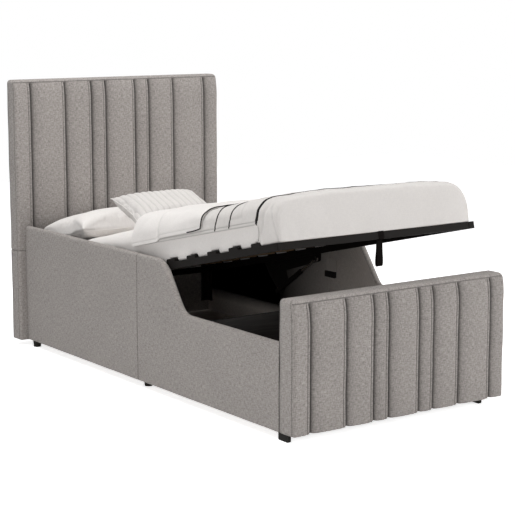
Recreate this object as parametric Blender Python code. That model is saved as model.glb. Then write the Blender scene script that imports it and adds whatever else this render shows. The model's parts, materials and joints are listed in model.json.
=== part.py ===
"""A storage bed whose slatted mattress platform lifts on a hinge and two gas struts.

Metres, +Z up. The head of the bed is at +Y and the foot at -Y. The origin is on the floor under
the middle of the bed. The platform stands part open, with its foot end raised.
Left is -X and right is +X, as seen by someone who stands at the foot and looks at the headboard.
"""

import math

import bmesh
import bpy
from mathutils import Matrix, Vector

SIDES = {"left": -1, "right": 1}

# Fits
SEAT_GAP = 0.0003
CLOTH_GAP = 0.0005
CUT_OVERRUN = 0.002

# Mattress
MATTRESS_WIDTH = 0.930
MATTRESS_LENGTH = 1.875
MATTRESS_HEIGHT = 0.150
MATTRESS_FOOT_INSET = 0.018
MATTRESS_HEAD_INSET = 0.007
MATTRESS_EDGE_RADIUS = 0.060
MATTRESS_LOWER_RADIUS = 0.024
MATTRESS_EDGE_STEPS = 3
MATTRESS_DRAW = 0.002

# Platform frame, closed size and the opening at which the bed stands
FRAME_SIDE_MARGIN = 0.0183
FRAME_LENGTH = MATTRESS_LENGTH + MATTRESS_FOOT_INSET + MATTRESS_HEAD_INSET
FRAME_HALF_WIDTH = MATTRESS_WIDTH / 2 + FRAME_SIDE_MARGIN
RAIL_WIDTH = 0.030
RAIL_HEIGHT = 0.028
PLUG_INSET = 0.002
PLUG_THICKNESS = 0.0015
PIVOT_HEIGHT = 0.352
PIVOT_FROM_PLATFORM_HEAD = 0.578
PIVOT_FROM_PLATFORM_FOOT = FRAME_LENGTH - PIVOT_FROM_PLATFORM_HEAD
PIVOT_BELOW_FRAME_TOP = 0.060
REST_TILT = math.radians(13.2)

# Whole bed
FOOT_CLEARANCE = 0.012
HEAD_CLEARANCE = 0.038
SIDE_CLEARANCE = 0.0043
HEADBOARD_THICKNESS = 0.078
FOOTBOARD_THICKNESS = 0.091
PANEL_THICKNESS = 0.028
PANEL_CLEARANCE = 0.028
LENGTH = FOOTBOARD_THICKNESS + FOOT_CLEARANCE + FRAME_LENGTH + HEAD_CLEARANCE + HEADBOARD_THICKNESS
FRONT_Y = -LENGTH / 2
BACK_Y = LENGTH / 2
PANEL_INNER_X = FRAME_HALF_WIDTH + SIDE_CLEARANCE
PANEL_FACE_X = PANEL_INNER_X - SEAT_GAP
PANEL_OUTER_X = PANEL_INNER_X + PANEL_THICKNESS
PIVOT_FROM_FOOT = FOOTBOARD_THICKNESS + FOOT_CLEARANCE + PIVOT_FROM_PLATFORM_FOOT

# Headboard
HEADBOARD_OVERHANG = 0.0369
HEADBOARD_WIDTH = 2 * (PANEL_OUTER_X + HEADBOARD_OVERHANG)
HEADBOARD_HEIGHT = 1.219
HEADBOARD_CLEARANCE = 0.025
HEADBOARD_SEAM_HEIGHT = 0.4426
HEADBOARD_SWEEP = 0.024
HEADBOARD_SWEEP_HEIGHT = 0.110
HEADBOARD_FRONT_Y = BACK_Y - HEADBOARD_THICKNESS

# Footboard
FOOTBOARD_OVERHANG = 0.0019
FOOTBOARD_WIDTH = 2 * (PANEL_OUTER_X + FOOTBOARD_OVERHANG)
FOOTBOARD_HEIGHT = 0.523
FOOTBOARD_SWEEP = 0.025
FOOTBOARD_SWEEP_HEIGHT = 0.110
FOOTBOARD_BACK_Y = FRONT_Y + FOOTBOARD_THICKNESS

# Upholstery shared by both boards
CHANNEL_SHARES = (0.0735, 0.160, 0.125, 0.0695, 0.144, 0.0695, 0.125, 0.160, 0.0735)
CREASE_DEPTH = 0.010
CREASE_RISE = 0.020
CREASE_RISE_SHARES = ((0.3, 0.45), (1.0, 0.12))
BEAD_WIDTH = 0.013
BEAD_SHARES = ((1.5, 0.08), (1.0, 0.32), (0.55, 0.24))
BOARD_EDGE_RADIUS = 0.014
BOARD_CORNER_RADIUS = 0.018
SEAM_ROLL = 0.004
BACK_COVER_THICKNESS = 0.004
BACK_COVER_INSET = 0.008
SWEEP_STATION_SHARES = (0.0, 0.5, 0.78)
CORNER_STATION_SHARES = (0.0, 0.7, 1.0)
EDGE_STEPS = 3

# Side panels
PANEL_HIGH_TOP = 0.5565
PANEL_LOW_TOP = 0.360
PANEL_TOP_RADIUS = 0.012
SEAM_BEFORE_PIVOT = 0.358
PANEL_SEAM_FROM_FOOT = PIVOT_FROM_FOOT - SEAM_BEFORE_PIVOT
SLOPE_BEFORE_SEAM = 0.377
SLOPE_ANGLE = math.radians(54)
HOLLOW_RADIUS = 0.080
SHOULDER_RADIUS = 0.110
SLOPE_STEPS = 5

# Storage floor
BATTEN_WIDTH = 0.020
BATTEN_HEIGHT = 0.0167
FLOOR_THICKNESS = 0.006
DIVIDER_THICKNESS = 0.016
DIVIDER_TOP = 0.235
DIVIDER_BEFORE_SEAM = 0.001

# Feet
ROUND_FOOT_RADIUS = 0.019
ROUND_FOOT_TAPER = 0.002
ROUND_FOOT_SIDES = 20
HEAD_FOOT_OUTSET = 0.0074
HEAD_FOOT_BEFORE_HEADBOARD = 0.051
MIDDLE_FOOT_INSET = 0.0186
MIDDLE_FOOT_BEFORE_SEAM = 0.007
SLAB_FOOT_WIDTH = 0.013
SLAB_FOOT_LENGTH = 0.060
SLAB_FOOT_BEFORE_FOOTBOARD_BACK = 0.018
SLAB_FOOT_INSETS = {"left": 0.013, "right": 0.0795}
SLAB_FOOT_CHAMFER = 0.004

# Corner brackets
BRACKET_FLANGE = 0.040
BRACKET_STEEL = 0.0025
BRACKET_BOTTOM = 0.100
BRACKET_HEIGHT = 0.200
BRACKET_BOLT_SHARES = (0.2, 0.8)
BOLT_HEAD_RADIUS = 0.0065
BOLT_HEAD_HEIGHT = 0.002
BOLT_SIDES = 12
HEX_SIDES = 6

# Rest brackets that carry the closed platform where the side panels meet
REST_BEFORE_SEAM = 0.048
REST_LENGTH = 0.068
REST_BEARING = 0.0077
REST_DEPTH = SIDE_CLEARANCE + REST_BEARING
REST_BLOCK_HEIGHT = 0.026
REST_PLATE_HEIGHT = 0.085
REST_PLATE_STEEL = 0.0022
REST_SCREW_SHARES = (0.49, 0.87)
REST_SCREW_DROP = 0.017
REST_SCREW_HEIGHT = 0.0012
REST_CLEARANCE = 0.0005
REST_TOP = PIVOT_HEIGHT + PIVOT_BELOW_FRAME_TOP - RAIL_HEIGHT - REST_CLEARANCE

# Slats and their holders
SLAT_COUNT = 12
FIRST_SLAT_FROM_FOOT = 0.1327
LAST_SLAT_FROM_HEAD = 0.1349
SLAT_PITCH = (FRAME_LENGTH - FIRST_SLAT_FROM_FOOT - LAST_SLAT_FROM_HEAD) / (SLAT_COUNT - 1)
SLAT_WIDTH = 0.053
SLAT_THICKNESS = 0.008
SLAT_CROWN = 0.005
SLAT_STEPS = 8
SLAT_EDGE_CHAMFER = 0.002
HOLDER_LENGTH = 0.060
HOLDER_DEPTH = 0.045
HOLDER_HEIGHT = 0.013
HOLDER_SLOPE = 0.004
HOLDER_WALL = 0.010
HOLDER_FLOOR = 0.0025
SLAT_PLAY = 0.0004

# Lift arms under the side rails
ARM_STEEL = 0.003
ARM_FLANGE_WIDTH = 0.0255
ARM_WEB_INSET = 0.0068
ARM_WEB_X = FRAME_HALF_WIDTH - ARM_WEB_INSET
ARM_WEB_STEEL = 0.0035
ARM_FRONT_REACH = 0.320
ARM_BACK_REACH = 0.050
ARM_CORNER_STEP = 0.0004
ARM_PIVOT_EYE = 0.022
ARM_STUD_EYE = 0.013
ARM_BOLT_SHARES = (0.14, 0.48, 0.94)
ARM_BOLT_RADIUS = 0.007
ARM_BOLT_HEIGHT = 0.004
EYE_SIDES = 20

# Hinge plates on the side panels
HINGE_STEEL = 0.0028
HINGE_FACE_X = PANEL_FACE_X - HINGE_STEEL
HINGE_PIVOT_EYE = 0.028
HINGE_BOLT_EYE = 0.016
HINGE_STRUT_EYE = 0.020
HINGE_BOLTS = ((0.124, 0.020), (0.080, -0.040), (-0.036, -0.050))
HINGE_BOLT_RADIUS = 0.0075
HINGE_BOLT_CLEARANCE = 0.0004
HINGE_BOLT_HEIGHT = HINGE_FACE_X - FRAME_HALF_WIDTH - HINGE_BOLT_CLEARANCE
PIVOT_STUD_RADIUS = 0.0058
PIVOT_HOLE_RADIUS = 0.0063
PIVOT_BUSH_RADIUS = 0.010
STUD_HEAD_HEIGHT = 0.0022

# Gas struts
STRUT_INSET = 0.0203
STRUT_X = FRAME_HALF_WIDTH - STRUT_INSET
STRUT_FOOT = Vector((0.0, -0.110))
STRUT_HEAD = Vector((-0.300, 0.010))
STRUT_STUD_RADIUS = 0.004
STRUT_STUD_HEAD_RADIUS = 0.009
STRUT_EYE_WIDTH = 0.008
STRUT_FOOT_EYE_RADIUS = 0.010
STRUT_FOOT_BORE = 0.0045
STRUT_HEAD_EYE_RADIUS = 0.011
STRUT_HEAD_BORE = 0.0072
STRUT_TUBE_RADIUS = 0.011
STRUT_TUBE_START = 0.018
STRUT_TUBE_END = 0.215
STRUT_NECK_RADIUS = 0.006
STRUT_STEM_RADIUS = 0.0027
STRUT_BORE_START = 0.100
STRUT_BORE_RADIUS = 0.0054
STRUT_ROD_RADIUS = 0.005
STRUT_ROD_START = 0.140
STRUT_ROUND_SIDES = 16

# Heights and ends of the mattress on its slats, above and along the closed frame
MATTRESS_BOTTOM = HOLDER_FLOOR + SLAT_PLAY + SLAT_THICKNESS + SLAT_CROWN + SEAT_GAP
MATTRESS_TOP = MATTRESS_BOTTOM + MATTRESS_HEIGHT
MATTRESS_HEAD = FRAME_LENGTH - MATTRESS_HEAD_INSET

# Quilted cover, tucked at the foot
COVER_SIDE_THICKNESS = 0.012
COVER_HALF_WIDTH = MATTRESS_WIDTH / 2 + COVER_SIDE_THICKNESS
COVER_THICKNESS = 0.0165
COVER_TOP = MATTRESS_TOP + COVER_THICKNESS
COVER_SHOULDER = 0.103
COVER_SHARES = (
    (0.999, 0.86), (0.987, 0.573), (0.943, 0.282), (0.891, 0.146), (0.797, 0.078), (0.4, 0.012),
)
COVER_FOOT_FACE = 0.0065
COVER_FOOT_BOTTOM = 0.006
COVER_BEFORE_MATTRESS_HEAD = 0.843
COVER_HEAD_END = MATTRESS_HEAD - COVER_BEFORE_MATTRESS_HEAD
COVER_HEM = 0.078
COVER_HEM_RISE = 0.012
COVER_STATIONS = 8
PLEAT_LENGTH = 0.080
PLEAT_DEPTH = 0.003

# Part of the cover folded back over itself
FOLD_BEYOND_COVER = 0.035
FOLD_LENGTH = 0.585
FOLD_HEAD_EDGE = COVER_HEAD_END + FOLD_BEYOND_COVER
FOLD_FOOT_EDGE = FOLD_HEAD_EDGE - FOLD_LENGTH
FOLD_SIDE_THICKNESS = 0.006
FOLD_HEM_SHARE = 0.80
FOLD_CROWN = 0.053
FOLD_CROWN_SHARES = (
    (0.0, 0.30), (0.10, 0.43), (0.34, 0.56), (0.60, 0.77), (0.80, 1.0), (0.92, 1.0), (0.97, 0.81),
    (1.0, 0.32),
)

# Pillow
PILLOW_WIDTH = 0.740
PILLOW_DEPTH = 0.400
PILLOW_CROWN = 0.108
PILLOW_UNDERSIDE = 0.032
PIPING_THICKNESS = 0.004
PILLOW_CENTRE_X = -0.090
PILLOW_BEFORE_MATTRESS_HEAD = 0.243
PILLOW_COLUMNS = 14
PILLOW_ROWS = 8
PILLOW_DRAW_SHARE = 0.045

# Ribbed cushion
CUSHION_WIDTH = 0.400
CUSHION_DEPTH = 0.280
CUSHION_CROWN = 0.048
CUSHION_RIBS = 14
CUSHION_RIB_DEPTH = 0.006
CUSHION_CENTRE_X = -0.155
CUSHION_BEFORE_MATTRESS_HEAD = 0.661
CUSHION_LEAN = math.radians(29)
CUSHION_YAW = math.radians(-6)
CUSHION_RIB_STEPS = 3
CUSHION_ROWS = 6
CUSHION_DRAW_SHARE = 0.02

# Pull strap
STRAP_CENTRE_X = 0.004
STRAP_WIDTH = 0.025
STRAP_LOWER_WIDTH = 0.030
STRAP_THICKNESS = 0.0016
STRAP_LENGTH = 0.100
STRAP_LOOP_OPENING = 0.012
STRAP_CLEARANCE = 0.0005
STRAP_OPENING_SHARES = ((0.07, 0.4), (0.25, 0.5), (0.5, 0.66), (0.75, 0.95), (0.92, 0.75))

SHARP_ANGLE = math.radians(35)


def material(name, colour, roughness, metallic=0.0):
    """A Principled material with one colour."""
    made = bpy.data.materials.new(name)
    made.use_nodes = True
    shader = made.node_tree.nodes["Principled BSDF"]
    shader.inputs["Base Color"].default_value = (*colour, 1.0)
    shader.inputs["Roughness"].default_value = roughness
    shader.inputs["Metallic"].default_value = metallic
    made.diffuse_color = (*colour, 1.0)
    return made


def place(name, bm, finish, origin=Vector(), parent=None):
    """Turn a mesh drawn in its parent's frame into a named object with its own origin."""
    bmesh.ops.recalc_face_normals(bm, faces=bm.faces)
    bmesh.ops.translate(bm, vec=-origin, verts=bm.verts)
    mesh = bpy.data.meshes.new(name)
    bm.to_mesh(mesh)
    bm.free()
    mesh.materials.append(finish)
    mesh.shade_smooth()
    mesh.set_sharp_from_angle(angle=SHARP_ANGLE)
    made = bpy.data.objects.new(name, mesh)
    made.location = origin
    made.parent = parent
    bpy.context.scene.collection.objects.link(made)
    return made


def combine(target, bm, operation, finish):
    """Join or cut the target with a hidden mesh drawn in the same frame as the target."""
    origin = Vector(target.location)
    tool = place(f"{target.name}_{operation.lower()}", bm, finish, origin, target.parent)
    tool.hide_render = True
    tool.display_type = "WIRE"
    change = target.modifiers.new(operation.title(), "BOOLEAN")
    change.operation = operation
    change.solver = "EXACT"
    change.object = tool
    return target


def loft(rings):
    """A closed skin through rings of as many points each, with both ends capped."""
    bm = bmesh.new()
    loops = [[bm.verts.new(point) for point in ring] for ring in rings]
    for first, second in zip(loops, loops[1:]):
        for i, corner in enumerate(first):
            bm.faces.new((first[i - 1], corner, second[i], second[i - 1]))
    bm.faces.new(loops[0])
    bm.faces.new(loops[-1])
    return bm


def prism(outline, travel, bm=None):
    """Extrude a flat outline along a vector."""
    bm = bm or bmesh.new()
    face = bm.faces.new([bm.verts.new(point) for point in outline])
    grown = bmesh.ops.extrude_face_region(bm, geom=[face])
    moved = [item for item in grown["geom"] if isinstance(item, bmesh.types.BMVert)]
    bmesh.ops.translate(bm, vec=Vector(travel), verts=moved)
    return bm


def block(low, high, bm=None):
    """A box between two corners."""
    bm = bm or bmesh.new()
    low, high = Vector(low), Vector(high)
    size = high - low
    stretch = Matrix.Diagonal((abs(size.x), abs(size.y), abs(size.z), 1))
    bmesh.ops.create_cube(bm, size=1, matrix=Matrix.Translation((low + high) / 2) @ stretch)
    return bm


def rod(start, end, radius, sides, bm=None, end_radius=None):
    """A round bar between two points."""
    bm = bm or bmesh.new()
    start, end = Vector(start), Vector(end)
    run = end - start
    where = Matrix.Translation((start + end) / 2) @ run.to_track_quat("Z", "Y").to_matrix().to_4x4()
    bmesh.ops.create_cone(
        bm, cap_ends=True, segments=sides, depth=run.length, matrix=where,
        radius1=radius, radius2=radius if end_radius is None else end_radius,
    )
    return bm


def hull_outline(circles, points=()):
    """The outline round a set of circles, each (y, z, radius), and plain points."""
    cloud = [tuple(point) for point in points]
    for y, z, radius in circles:
        for step in range(EYE_SIDES):
            angle = 2 * math.pi * step / EYE_SIDES
            cloud.append((y + radius * math.cos(angle), z + radius * math.sin(angle)))
    cloud.sort()

    def half_of(ordered):
        chain = []
        for point in ordered:
            while len(chain) > 1 and turn(chain[-2], chain[-1], point) <= 0:
                chain.pop()
            chain.append(point)
        return chain[:-1]

    return half_of(cloud) + half_of(cloud[::-1])


def turn(a, b, c):
    """Positive where a, b and c turn to the left."""
    return (b[0] - a[0]) * (c[1] - a[1]) - (b[1] - a[1]) * (c[0] - a[0])


def from_foot(distance):
    """World Y of a place measured back from the footboard's front."""
    return FRONT_Y + distance


def quarter(steps=EDGE_STEPS):
    """Angles from zero to a right angle."""
    return [math.pi / 2 * step / steps for step in range(steps + 1)]


def edge_profile(half_width):
    """The rounded left edge of an upholstered board, as x and depth behind the face."""
    radius = BOARD_EDGE_RADIUS
    return [(-half_width + radius * (1 - math.cos(a)), radius * (1 - math.sin(a))) for a in quarter()]


def plain_profile(width):
    """A flat padded face from left to right, as x and depth behind the face."""
    left = edge_profile(width / 2)
    return left + [(-x, depth) for x, depth in reversed(left)]


def fluted_profile(width):
    """A face of sewn channels: a crease, a soft rise, a flat crown and a narrow bead at the right."""
    left = edge_profile(width / 2)
    points = list(left)
    x = -width / 2
    last = len(CHANNEL_SHARES) - 1
    for index, share in enumerate(CHANNEL_SHARES):
        channel = share * width
        if index:
            points.append((x, CREASE_DEPTH))
            points += [(x + CREASE_RISE * run, CREASE_DEPTH * drop) for run, drop in CREASE_RISE_SHARES]
        points.append((x + channel / 2, 0.0))
        x += channel
        if index < last:
            points += [(x - BEAD_WIDTH * run, CREASE_DEPTH * drop) for run, drop in BEAD_SHARES]
    return points + [(-px, depth) for px, depth in reversed(left)]


def padded_board(profile, half_width, bottom, top, front, back, sweep=0.0, sweep_height=0.0):
    """Raise a face profile from bottom to top, curving it back and rounding its upper corners."""
    stations = [bottom, bottom + SEAM_ROLL]
    if sweep:
        stations += [top - sweep_height * (1 - share) for share in SWEEP_STATION_SHARES]
        stations += [top - BOARD_CORNER_RADIUS * (1 - share) for share in CORNER_STATION_SHARES]
    else:
        stations += [top - SEAM_ROLL, top]
    rings = []
    for z in stations:
        pulled = SEAM_ROLL if z == bottom or (z == top and not sweep) else 0.0
        narrow = 1.0
        if sweep:
            rise = max(0.0, (z - top + sweep_height) / sweep_height)
            pulled += sweep * (1 - math.sqrt(max(0.0, 1 - rise * rise)))
            near = max(0.0, (z - top + BOARD_CORNER_RADIUS) / BOARD_CORNER_RADIUS)
            narrow -= BOARD_CORNER_RADIUS * (1 - math.sqrt(max(0.0, 1 - near * near))) / half_width
        ring = [Vector((x * narrow, front + pulled + depth, z)) for x, depth in profile]
        ring += [Vector((half_width * narrow, back, z)), Vector((-half_width * narrow, back, z))]
        rings.append(ring)
    return loft(rings)


def build_headboard(fabric, lining):
    """Fluted upper pad, plain lower part and the lining on the back."""
    half = HEADBOARD_WIDTH / 2
    back = BACK_Y - BACK_COVER_THICKNESS - SEAT_GAP
    upper = padded_board(
        fluted_profile(HEADBOARD_WIDTH), half, HEADBOARD_SEAM_HEIGHT, HEADBOARD_HEIGHT,
        HEADBOARD_FRONT_Y, back, HEADBOARD_SWEEP, HEADBOARD_SWEEP_HEIGHT,
    )
    place("headboard_pad", upper, fabric, Vector((0, back, HEADBOARD_SEAM_HEIGHT)))
    lower = padded_board(
        plain_profile(HEADBOARD_WIDTH), half, HEADBOARD_CLEARANCE, HEADBOARD_SEAM_HEIGHT - SEAT_GAP,
        HEADBOARD_FRONT_Y, back,
    )
    place("headboard_base", lower, fabric, Vector((0, back, HEADBOARD_CLEARANCE)))
    cover = block(
        (-half + BACK_COVER_INSET, BACK_Y - BACK_COVER_THICKNESS, HEADBOARD_CLEARANCE + BACK_COVER_INSET),
        (half - BACK_COVER_INSET, BACK_Y, HEADBOARD_HEIGHT - BOARD_CORNER_RADIUS - BACK_COVER_INSET),
    )
    place("headboard_back_cover", cover, lining, Vector((0, BACK_Y, HEADBOARD_CLEARANCE)))


def build_footboard(fabric, lining):
    """Fluted pad and the lining on the storage side."""
    half = FOOTBOARD_WIDTH / 2
    back = FOOTBOARD_BACK_Y - BACK_COVER_THICKNESS - SEAT_GAP
    pad = padded_board(
        fluted_profile(FOOTBOARD_WIDTH), half, PANEL_CLEARANCE, FOOTBOARD_HEIGHT,
        FRONT_Y, back, FOOTBOARD_SWEEP, FOOTBOARD_SWEEP_HEIGHT,
    )
    place("footboard_pad", pad, fabric, Vector((0, back, PANEL_CLEARANCE)))
    cover = block(
        (-half, FOOTBOARD_BACK_Y - BACK_COVER_THICKNESS, PANEL_CLEARANCE),
        (half, FOOTBOARD_BACK_Y, FOOTBOARD_HEIGHT - BOARD_CORNER_RADIUS - BACK_COVER_INSET),
    )
    place("footboard_back_cover", cover, lining, Vector((0, FOOTBOARD_BACK_Y, PANEL_CLEARANCE)))


def slope_points(back):
    """Top edge of a foot-half side panel from front to back: y, z and the outward normal."""
    rise = PANEL_HIGH_TOP - PANEL_LOW_TOP
    hollow_rise = HOLLOW_RADIUS * (1 - math.cos(SLOPE_ANGLE))
    shoulder_rise = SHOULDER_RADIUS * (1 - math.cos(SLOPE_ANGLE))
    straight_run = (rise - hollow_rise - shoulder_rise) / math.tan(SLOPE_ANGLE)
    start = from_foot(PANEL_SEAM_FROM_FOOT - SLOPE_BEFORE_SEAM)
    shoulder_y = start + (HOLLOW_RADIUS + SHOULDER_RADIUS) * math.sin(SLOPE_ANGLE) + straight_run
    points = [(FOOTBOARD_BACK_Y + SEAT_GAP, PANEL_LOW_TOP, 0.0, 1.0)]
    for step in range(SLOPE_STEPS + 1):
        angle = SLOPE_ANGLE * step / SLOPE_STEPS
        y = start + HOLLOW_RADIUS * math.sin(angle)
        z = PANEL_LOW_TOP + HOLLOW_RADIUS * (1 - math.cos(angle))
        points.append((y, z, -math.sin(angle), math.cos(angle)))
    for step in range(SLOPE_STEPS, -1, -1):
        angle = SLOPE_ANGLE * step / SLOPE_STEPS
        y = shoulder_y - SHOULDER_RADIUS * math.sin(angle)
        z = PANEL_HIGH_TOP - SHOULDER_RADIUS * (1 - math.cos(angle))
        points.append((y, z, -math.sin(angle), math.cos(angle)))
    points.append((back, PANEL_HIGH_TOP, 0.0, 1.0))
    return points


def padded_panel(top_points, side):
    """A side panel whose upper edge is rounded over its thickness."""
    across = []
    for angle in quarter():
        inset = PANEL_TOP_RADIUS * (1 - math.sin(angle))
        across.append((PANEL_TOP_RADIUS * (1 - math.cos(angle)), inset))
    across += [(PANEL_THICKNESS - run, inset) for run, inset in reversed(across)]
    front, back = top_points[0][0], top_points[-1][0]
    rings = []
    for run, inset in across:
        x = side * (PANEL_INNER_X + run)
        ring = [Vector((x, y - ny * inset if 0 < i < len(top_points) - 1 else y, z - nz * inset))
                for i, (y, z, ny, nz) in enumerate((y, z, ny, nz) for y, z, ny, nz in top_points)]
        ring += [Vector((x, back, PANEL_CLEARANCE)), Vector((x, front, PANEL_CLEARANCE))]
        rings.append(ring)
    return loft(rings)


def build_side_panels(fabric):
    """Each side is two padded panels that meet at a seam."""
    seam = from_foot(PANEL_SEAM_FROM_FOOT)
    foot_edge = slope_points(seam - SEAT_GAP / 2)
    head_edge = [(seam + SEAT_GAP / 2, PANEL_HIGH_TOP, 0.0, 1.0)]
    head_edge.append((HEADBOARD_FRONT_Y - SEAT_GAP, PANEL_HIGH_TOP, 0.0, 1.0))
    for label, side in SIDES.items():
        middle_x = side * (PANEL_INNER_X + PANEL_THICKNESS / 2)
        origin = Vector((middle_x, seam, PANEL_CLEARANCE))
        place(f"side_panel_{label}_foot", padded_panel(foot_edge, side), fabric, origin)
        place(f"side_panel_{label}_head", padded_panel(head_edge, side), fabric, origin)


def build_storage_floor(timber, board):
    """Battens on the side panels, two floor boards and the divider between them."""
    divider_back = from_foot(PANEL_SEAM_FROM_FOOT - DIVIDER_BEFORE_SEAM)
    divider_front = divider_back - DIVIDER_THICKNESS
    inner_x = PANEL_FACE_X - SEAT_GAP
    divider = block((-inner_x, divider_front, PANEL_CLEARANCE), (inner_x, divider_back, DIVIDER_TOP))
    place("cross_divider", divider, board, Vector((0, divider_back, PANEL_CLEARANCE)))
    spans = {
        "foot": (FOOTBOARD_BACK_Y + SEAT_GAP, divider_front - SEAT_GAP),
        "head": (divider_back + SEAT_GAP, HEADBOARD_FRONT_Y - SEAT_GAP),
    }
    batten_top = PANEL_CLEARANCE + BATTEN_HEIGHT
    floor_bottom = batten_top + SEAT_GAP
    for end, (front, back) in spans.items():
        floor = block((-inner_x, front, floor_bottom), (inner_x, back, floor_bottom + FLOOR_THICKNESS))
        place(f"floor_board_{end}", floor, board, Vector((0, front, floor_bottom)))
        for label, side in SIDES.items():
            batten = block(
                (side * PANEL_FACE_X, front, PANEL_CLEARANCE),
                (side * (PANEL_FACE_X - BATTEN_WIDTH), back, batten_top),
            )
            origin = Vector((side * PANEL_FACE_X, front, PANEL_CLEARANCE))
            place(f"floor_batten_{end}_{label}", batten, timber, origin)


def build_feet(plastic):
    """Round feet at the head and the middle, slab feet under the footboard corners."""
    foot_top = PANEL_CLEARANCE - SEAT_GAP
    floor_radius = ROUND_FOOT_RADIUS - ROUND_FOOT_TAPER
    slab_y = FOOTBOARD_BACK_Y - SLAB_FOOT_BEFORE_FOOTBOARD_BACK
    head_y = HEADBOARD_FRONT_Y - HEAD_FOOT_BEFORE_HEADBOARD
    middle_y = from_foot(PANEL_SEAM_FROM_FOOT - MIDDLE_FOOT_BEFORE_SEAM)
    for label, side in SIDES.items():
        for end, x, y in (
            ("head", PANEL_INNER_X + HEAD_FOOT_OUTSET, head_y),
            ("middle", PANEL_INNER_X - MIDDLE_FOOT_INSET, middle_y),
        ):
            base = Vector((side * x, y, 0))
            top = base + Vector((0, 0, foot_top))
            foot = rod(base, top, floor_radius, ROUND_FOOT_SIDES, None, ROUND_FOOT_RADIUS)
            place(f"foot_{end}_{label}", foot, plastic, base)
        x = side * (FOOTBOARD_WIDTH / 2 - SLAB_FOOT_INSETS[label])
        half = SLAB_FOOT_LENGTH / 2
        outline = [
            (x - SLAB_FOOT_WIDTH / 2, slab_y - half, foot_top),
            (x - SLAB_FOOT_WIDTH / 2, slab_y - half, SLAB_FOOT_CHAMFER),
            (x - SLAB_FOOT_WIDTH / 2, slab_y - half + SLAB_FOOT_CHAMFER, 0),
            (x - SLAB_FOOT_WIDTH / 2, slab_y + half - SLAB_FOOT_CHAMFER, 0),
            (x - SLAB_FOOT_WIDTH / 2, slab_y + half, SLAB_FOOT_CHAMFER),
            (x - SLAB_FOOT_WIDTH / 2, slab_y + half, foot_top),
        ]
        slab = prism(outline, (SLAB_FOOT_WIDTH, 0, 0))
        place(f"foot_front_{label}", slab, plastic, Vector((x, slab_y, 0)))


def build_corner_brackets(steel):
    """Steel angles that bolt the side panels to the boards."""
    for end, board_y, inward in (
        ("foot", FOOTBOARD_BACK_Y + SEAT_GAP, 1),
        ("head", HEADBOARD_FRONT_Y - SEAT_GAP, -1),
    ):
        for label, side in SIDES.items():
            panel_x = side * PANEL_FACE_X
            x_step, y_step = -side * BRACKET_FLANGE, inward * BRACKET_FLANGE
            x_steel, y_steel = -side * BRACKET_STEEL, inward * BRACKET_STEEL
            outline = [
                (panel_x, board_y), (panel_x, board_y + y_step), (panel_x + x_steel, board_y + y_step),
                (panel_x + x_steel, board_y + y_steel), (panel_x + x_step, board_y + y_steel),
                (panel_x + x_step, board_y),
            ]
            points = [(x, y, BRACKET_BOTTOM) for x, y in outline]
            origin = Vector((panel_x, board_y, BRACKET_BOTTOM))
            angle_iron = prism(points, (0, 0, BRACKET_HEIGHT))
            bracket = place(f"corner_bracket_{end}_{label}", angle_iron, steel, origin)
            heads = bmesh.new()
            for share in BRACKET_BOLT_SHARES:
                z = BRACKET_BOTTOM + share * BRACKET_HEIGHT
                y = board_y + y_step / 2
                x = panel_x + x_step / 2
                panel_side = panel_x + x_steel / 2
                board_side = board_y + y_steel / 2
                out_x = x_steel / 2 - side * BOLT_HEAD_HEIGHT
                out_y = y_steel / 2 + inward * BOLT_HEAD_HEIGHT
                rod((panel_side, y, z), (panel_side + out_x, y, z), BOLT_HEAD_RADIUS, BOLT_SIDES, heads)
                rod((x, board_side, z), (x, board_side + out_y, z), BOLT_HEAD_RADIUS, BOLT_SIDES, heads)
            combine(bracket, heads, "UNION", steel)


def build_rest_brackets(steel):
    """Blocks at the panel seams on which the closed platform lies."""
    bottom = REST_TOP - REST_BLOCK_HEIGHT
    front = from_foot(PANEL_SEAM_FROM_FOOT - REST_BEFORE_SEAM)
    for label, side in SIDES.items():
        panel_x = side * PANEL_FACE_X
        plate_x = side * (PANEL_FACE_X - REST_PLATE_STEEL)
        block_x = side * (PANEL_FACE_X - REST_DEPTH)
        outline = [
            (panel_x, bottom), (panel_x, bottom + REST_PLATE_HEIGHT), (plate_x, bottom + REST_PLATE_HEIGHT),
            (plate_x, REST_TOP), (block_x, REST_TOP), (block_x, bottom),
        ]
        points = [(x, front, z) for x, z in outline]
        origin = Vector((panel_x, front, bottom))
        rest = place(f"rest_bracket_{label}", prism(points, (0, REST_LENGTH, 0)), steel, origin)
        screws = bmesh.new()
        z = bottom + REST_PLATE_HEIGHT - REST_SCREW_DROP
        for share in REST_SCREW_SHARES:
            y = front + share * REST_LENGTH
            start = Vector((plate_x + side * REST_PLATE_STEEL / 2, y, z))
            reach = REST_PLATE_STEEL / 2 + REST_SCREW_HEIGHT
            rod(start, start - Vector((side * reach, 0, 0)), BOLT_HEAD_RADIUS, BOLT_SIDES, screws)
        combine(rest, screws, "UNION", steel)


def on_platform(x, from_platform_foot, above_frame):
    """A place on the closed platform, measured from the pivot."""
    y = from_platform_foot - PIVOT_FROM_PLATFORM_FOOT
    return Vector((x, y, above_frame + PIVOT_BELOW_FRAME_TOP))


def build_pivot():
    """The empty on the hinge axis that carries and tilts the platform."""
    pivot = bpy.data.objects.new("platform_pivot", None)
    pivot.location = (0, from_foot(PIVOT_FROM_FOOT), PIVOT_HEIGHT)
    pivot.rotation_euler.x = -REST_TILT
    bpy.context.scene.collection.objects.link(pivot)
    return pivot


def slat_places():
    """Distance of each slat's middle from the platform's foot end."""
    return [FIRST_SLAT_FROM_FOOT + SLAT_PITCH * index for index in range(SLAT_COUNT)]


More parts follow.
